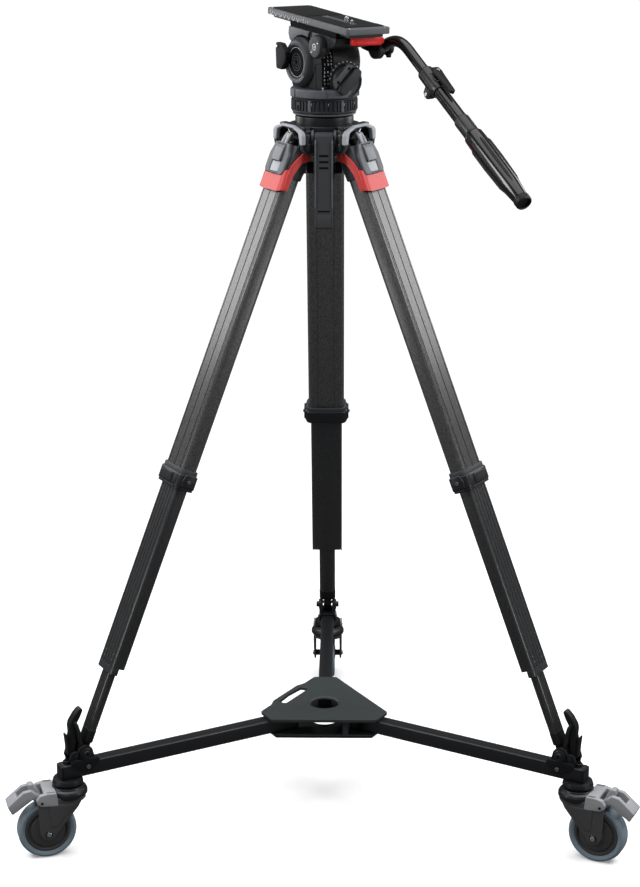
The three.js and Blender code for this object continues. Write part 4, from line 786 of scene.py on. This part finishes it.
# lighter brow on the cap side
brow = fillet([(-46, 52), (-47, 40), (-42, 30)] + [(43.4 * math.cos(math.radians(a)), 43.4 * math.sin(math.radians(a))) for a in (142, 130, 118, 106, 94, 82, 72)] + [(18, 52)], 2, 3)
p.slabY(brow, -43.4, -39, bevel=1.2, mi=1)
p.rod(14.2, 34, 41.2, T(52, 0, 33) @ RX(90), bevel=1.0)
p.slabY(fillet([(20, 53), (24, 42), (38, 30), (52, 18), (68, 22), (76, 40), (78, 53)], 4, 4), -41, -36, bevel=1.6)
p.done()

p = Piece("tilt_drag_look", "tilt_drag", ["housing", "white", "void"], "tilt_drag_dial", TILT @ T(52, -41.4, 33) @ RX(90))
p.lathe([(0, 0), (18.4, 0), (18.8, 1), (18.8, 9.6), (16.6, 12.4), (0, 12.5)], seg=72, r=0.6)
for i in range(30):
    p.slabX([(-0.7, 1.4), (0.7, 1.4), (0.7, 9), (-0.7, 9)], 18.4, 19.3, RZ(i * 12), bevel=0.2)
p.lathe([(4.2, 12.3), (5.4, 12.3), (5.4, 12.8), (4.2, 12.8)], I4, 32, 1)
p.lathe([(0, 12.3), (1.6, 12.3), (1.6, 12.8), (0, 12.8)], I4, 20, 1)
p.prism([(-1.3, -1.3), (1.3, -1.3), (1.3, 1.3), (-1.3, 1.3)], 12.3, 12.8, RZ(38) @ T(11.4, 0, 0), bevel=0.05, mi=1)
hr_ = [(3.2 * math.cos(math.radians(a)), 3.2 * math.sin(math.radians(a))) for a in range(0, 186, 15)] + [(2.1 * math.cos(math.radians(a)), 2.1 * math.sin(math.radians(a))) for a in range(180, -6, -15)]
p.prism(hr_, 12.3, 12.8, RZ(222) @ T(11.4, 0, 0), bevel=0.05, mi=1)
p.done()
p = Piece("level_dial_look", "level_dial", ["housing", "midgrey"], "level_dial", TILT @ T(-30, 40.6, 50) @ RX(-90))
p.lathe([(0, 0), (7, 0), (7, 4.6), (6, 6), (0, 6)], seg=40, r=0.5)
p.prism(fillet([(-5.4, -1), (5.4, -1), (5.4, 1), (-5.4, 1)], 0.5, 2), 5.6, 7.4, bevel=0.4, mi=1)
p.done()

# camera plate
z0, PT = 56.0, 16
p = Piece("camera_plate_look", "plate", ["plateedge", "pad", "white", "void", "steel", "dark"], "camera_plate", PLATE)
ol = rrect(125, 42, 6, 6)
p.prism(ol, 61.4, z0 + PT, bevel=1.3, res=3, holes=[arc(74.4, 0, 3.6, -90, 90, 10) + arc(1.6, 0, 3.6, 90, 270, 10)])
p.prism(fillet([(-117, -32.6), (117, -32.6), (117, 32.6), (-117, 32.6)], 1), z0 + 0.2, 61.8, bevel=0.8, mi=5, holes=[arc(71, 0, 9, -90, 90, 10) + arc(5, 0, 9, 90, 270, 10)])
for a, b in ((-112, -12), (88, 112)):
    p.box(a, b, -37, 37, z0 + PT - 0.6, z0 + PT + 1.4, bevel=0.5, r=2.5, mi=1)
p.box(-9.5, 86, -37, -6.4, z0 + PT - 0.6, z0 + PT + 0.5, bevel=0.3, r=2, mi=1)
p.box(-9.5, 86, 6.4, 37, z0 + PT - 0.6, z0 + PT + 0.5, bevel=0.3, r=2, mi=1)
for i in range(18):
    x = -112 + i * 7
    long = 3.2 if i % 5 == 0 else 1.6
    for k in (-1, 1):
        m = T(x, k * 42.0, z0 + 10)
        p.box(-0.45, 0.45, -0.22, 0.22, -long, long, m, bevel=0.05, mi=2)
for i in range(7):
    p.slabY([(-1.1, -1.2), (1.1, -1.2), (1.1, 1.2), (-1.1, 1.2)], -42.3, -41.9, T(-108.5 + i * 14, 0, z0 + 12.4 - 5.6), bevel=0.05, mi=2)
p.rod(2.6, z0 + 10, z0 + PT + 6, T(74, 0, 0), mi=4, bevel=0.6)
p.box(70, 78, -5, 5, z0 + 8, z0 + PT - 0.5, bevel=0.4)
for x in (-118.5, 118.5):
    for y in (-34, 34):
        p.lathe([(0, 0), (2.1, 0), (1.7, 0.5), (0, 0.5)], T(x, y, z0 + PT - 0.1), 20, 4)
p.done()
p = Piece("camera_screw_look", "camera_screw", ["steel"], "camera_screw", PLATE @ T(57, 0, 0))
p.rod(8.2, z0 + 0.8, z0 + 6.5, bevel=0.6)
p.rod(3.3, z0 + 6, z0 + 25, bevel=0.7)
for i in range(6):
    p.lathe([(2.9, 0), (3.55, 0.35), (2.9, 0.7)], T(0, 0, z0 + 18.4 + i * 1.05), 32)
p.done()

p = Piece("plate_lever_look", "plate_lever", ["redplastic", "blackmetal"], "plate_lever", TILT @ T(99, -12, 48))
p.rod(4.5, -8, 7.4, mi=1)
p.slabX(fillet([(-4, -7), (20, -7.6), (50, -8), (57, -4), (57, 3), (50, 7), (-4, 7)], 3, 4), -2.8, 9, bevel=2.2, res=3)
p.slabX(fillet([(2, -5.4), (46, -6), (52, -2), (2, -1)], 1.5, 3), 8.4, 10.0, bevel=0.7)
p.done()

# ---------------------------------------------------------------- pan bar
TT, E = 14, (62, 14, 14)
ca, sa = math.cos(math.radians(33)), -math.sin(math.radians(33))
on = lambda s_, dy=0, dn=0: (E[0] + s_ * ca - dn * sa, E[1] + dy, E[2] + s_ * sa + dn * ca)
BM = BAR @ Matrix(((ca, 0, -sa, E[0]), (0, 1, 0, E[1]), (sa, 0, ca, E[2]), (0, 0, 0, 1)))  # local X runs down the bar, Z is its upper normal
path = []
pts = [Vector((6, 14, 3)), Vector((34, 14, 13.5)), Vector(E), Vector(on(40))]
for i in range(25):
    t = i / 24
    a, b, c, d = pts[0], Vector((40, 14, 17)), Vector((56, 14, 20)), Vector(on(34))
    path.append(a * (1 - t) ** 3 + b * 3 * t * (1 - t) ** 2 + c * 3 * t * t * (1 - t) + d * t ** 3)
path += [Vector(on(x)) for x in (60, 120, 204)]
p = Piece("bar_inner_look", "pan_bar", ["gloss", "blackmetal", "housing"], "pan_bar_inner", BAR)
p.sweep(path, 9, I4, 40)
p.rod(18, 0.2, 12, RX(-90), mi=2, bevel=1.4)
for i in range(36):
    p.box(15.2, 17.6, -0.5, 0.5, -0.4, 0.6, RX(-90) @ RZ(i * 10) @ T(0, 0, 0.4), bevel=0.15, mi=2)
p.sweep([(2, 10, 1), (6, 13, 2.6), (14, 14, 5.6)], [13, 12.4, 10], I4, 32, 1)
p.done()
p = Piece("bar_knob_look", "bar_knob", ["black", "blackmetal"], "bar_clamp_knob", BAR @ T(0, 23.6, 0) @ RX(-90))
p.lathe([(0, 0), (13, 0), (13, 6), (11, 10), (0, 10)], seg=56, r=1.2)
p.slabX(fillet([(-5, 2.6), (5, 2.6), (4, 9), (-4, 9)], 1, 2), 0, 1, bevel=0.1)
p.prism(fillet([(-5, 0), (5, 0), (4.4, 17), (-4.4, 17)], 3, 4), 3, 9, bevel=1.4)
p.done()
RXB = RY(90)  # turned pieces along the bar
p = Piece("bar_outer_look", "bar_outer", ["gloss", "blackmetal", "steel", "black"], "pan_bar_outer", BM)
p.lathe([(9.25, 78), (12.6, 78), (13.4, 80), (13.6, 92), (13.6, 122), (12.6, 128.5), (9.25, 128.5)], RXB, 56, 1, r=0.8)
p.slabY(fillet([(88, -12), (120, -12), (120, -5), (88, -5)], 2, 3), -8, 8, bevel=1.4, mi=1)
p.slabY(fillet([(96, -6), (116, -6), (116, -22), (112, -27.5), (104, -28), (98, -24)], 4, 4), -6.2, 6.2, bevel=1.4, mi=1)
p.rod(3.4, -7.2, 7.2, T(106, 0, -21.5) @ RX(90), mi=2, bevel=0.5)
p.slabY(fillet([(96, 10), (118, 10), (116, 15), (98, 15)], 1, 2), -7.5, 7.5, bevel=1.0, mi=1)
p.lathe([(9.25, 128), (10.9, 128), (10.9, 200), (9.25, 200)], RXB, 56, 0)
p.lathe([(9.25, 197), (12.2, 197), (13, 199), (13, 231), (12.2, 233.6), (9.25, 233.6)], RXB, 56, 1, r=0.7)
p.lathe([(0, 205.5), (9.25, 205.5), (9.25, 392), (0, 392)], RXB, 32, 3)
p.done()
p = Piece("grip_look", "bar_outer", ["gloss", "black", "void"], "pan_bar_grip", BM)
p.lathe([(9.6, 234), (14, 234), (15.6, 237), (16.2, 250), (15.8, 300), (15.2, 352), (13.6, 368), (12.2, 384), (9.6, 384)], RXB, 84, 0, r=1.2, n=4)
for i in range(6):
    m = RX(i * 60 + 20)
    p.sweep([(254, 0, 14.7), (262, 0, 15.6), (300, 0, 15.4), (345, 0, 14.7), (362, 0, 13.0)], [1.0, 2.6, 3.0, 2.4, 0.8], m, 20, 1)
p.lathe([(9.6, 383), (12.4, 383), (13.4, 385), (13.2, 393), (12, 395.4), (9.8, 395.6), (9.2, 394), (9.2, 388)], RXB, 64, 1, r=0.5)
p.done()
WM = BM @ T(104, 0, 17.4)
p = Piece("wing_look", "bar_wing", ["black", "steel"], "bar_wing_lever", WM)
p.rod(6, -2.6, 5.4, bevel=0.8)
p.prism(fillet([(-9, -6), (0, -8), (10, -7), (50, -4.6), (54, 0), (50, 4.6), (10, 7), (0, 8), (-9, 6)], 3, 4), 0.6, 7.2, bevel=1.8, res=3)
p.screw(2.6, T(0, 0, 7.0), 1)
p.done()

# END PARTS

# ---------------------------------------------------------------- floor, light, camera
fm, ft, fb = base_mat("studio_floor", (242, 242, 243), 0.9, 0.0, 0.1)
fb.inputs["Emission Color"].default_value = (1, 1, 1, 1)
fb.inputs["Emission Strength"].default_value = 0.16
me = bpy.data.meshes.new("floor")
me.from_pydata([(-40, -40, 0), (40, -40, 0), (40, 40, 0), (-40, 40, 0)], [], [(0, 1, 2, 3)])
floor = bpy.data.objects.new("floor", me)
bpy.context.scene.collection.objects.link(floor)
me.materials.append(fm)
floor.visible_diffuse = False
floor.visible_glossy = False

# a plain pale wall far round the floor, which is seen but gives no light of its own to the tripod
wm, wt, wb = base_mat("studio_wall", (242, 242, 243), 0.9, 0.0, 0.1)
wb.inputs["Emission Color"].default_value = (1, 1, 1, 1)
wb.inputs["Emission Strength"].default_value = 0.95
wm.cycles.emission_sampling = "NONE"
wall = bpy.data.meshes.new("wall")
w = 39.9
wall.from_pydata([(x, y, z) for z in (0.0, 50.0) for x, y in ((-w, -w), (w, -w), (w, w), (-w, w))], [],
                 [(0, 1, 5, 4), (1, 2, 6, 5), (2, 3, 7, 6), (3, 0, 4, 7), (4, 5, 6, 7)])
wo = bpy.data.objects.new("wall", wall)
bpy.context.scene.collection.objects.link(wo)
wall.materials.append(wm)
for flag in ("visible_diffuse", "visible_glossy", "visible_shadow", "visible_transmission"):
    setattr(wo, flag, False)

world = bpy.data.worlds.new("studio")
bpy.context.scene.world = world
world.use_nodes = True
world.node_tree.nodes["Background"].inputs[0].default_value = (1, 1, 1, 1)
world.node_tree.nodes["Background"].inputs[1].default_value = 0.13


def area(name, at, to, size, power, size_y=None):
    d = bpy.data.lights.new(name, "AREA")
    d.energy = power
    d.shape = "RECTANGLE"
    d.size = size
    d.size_y = size_y or size
    o = bpy.data.objects.new(name, d)
    bpy.context.scene.collection.objects.link(o)
    o.location = at
    o.rotation_euler = (Vector(to) - Vector(at)).to_track_quat("-Z", "Y").to_euler()
    o.visible_camera = False
    return o


area("side_left", (-1.35, -0.75, 1.75), (0, -0.15, 1.15), 0.5, 13, 0.7)
area("side_right", (1.35, -0.75, 1.75), (0, -0.15, 1.15), 0.5, 13, 0.7)
area("back_left", (-1.5, 0.8, 1.55), (-0.1, -0.15, 0.95), 0.9, 13, 1.1)
area("back_right", (1.5, 0.8, 1.55), (0.1, -0.15, 0.95), 0.9, 13, 1.1)
area("low_left", (-1.9, -1.0, 0.5), (-0.3, -0.2, 0.3), 0.5, 6, 0.5)
area("low_right", (1.9, -1.0, 0.5), (0.3, -0.2, 0.3), 0.5, 6, 0.5)
area("front", (-0.8, -3.2, 2.4), (0, 0, 1.0), 1.2, 7)
sd = bpy.data.lights.new("overhead", "SUN")
sd.energy = 2.8
sd.angle = math.radians(75)
so = bpy.data.objects.new("overhead", sd)
bpy.context.scene.collection.objects.link(so)
so.rotation_euler = (math.radians(6), 0, 0)

cam = bpy.data.cameras.new("cam")
cam.sensor_fit = "VERTICAL"
cam.sensor_height = 24.0
cam.lens = 2066.1 * 24.0 / 887
cam.dof.use_dof = False
cam.clip_end = 200
co = bpy.data.objects.new("cam", cam)
bpy.context.scene.collection.objects.link(co)
yaw, D, HC, PITCH, SXPX = -0.0134, 3.4576, 1.6617, 0.2827, 4.42
ax, ay = AX / 1000, AY / 1000
# the camera stands in front of the tripod's axis, turned about it by a little
co.location = (ax - D * math.sin(yaw), ay - D * math.cos(yaw), HC)
co.rotation_euler = (math.pi / 2 - PITCH, 0, -yaw)
cam.shift_x = -SXPX / 887
bpy.context.scene.camera = co

bpy.context.scene.view_settings.view_transform = "Standard"
bpy.context.scene.view_settings.look = "None"
bpy.context.scene.view_settings.exposure = 0.0

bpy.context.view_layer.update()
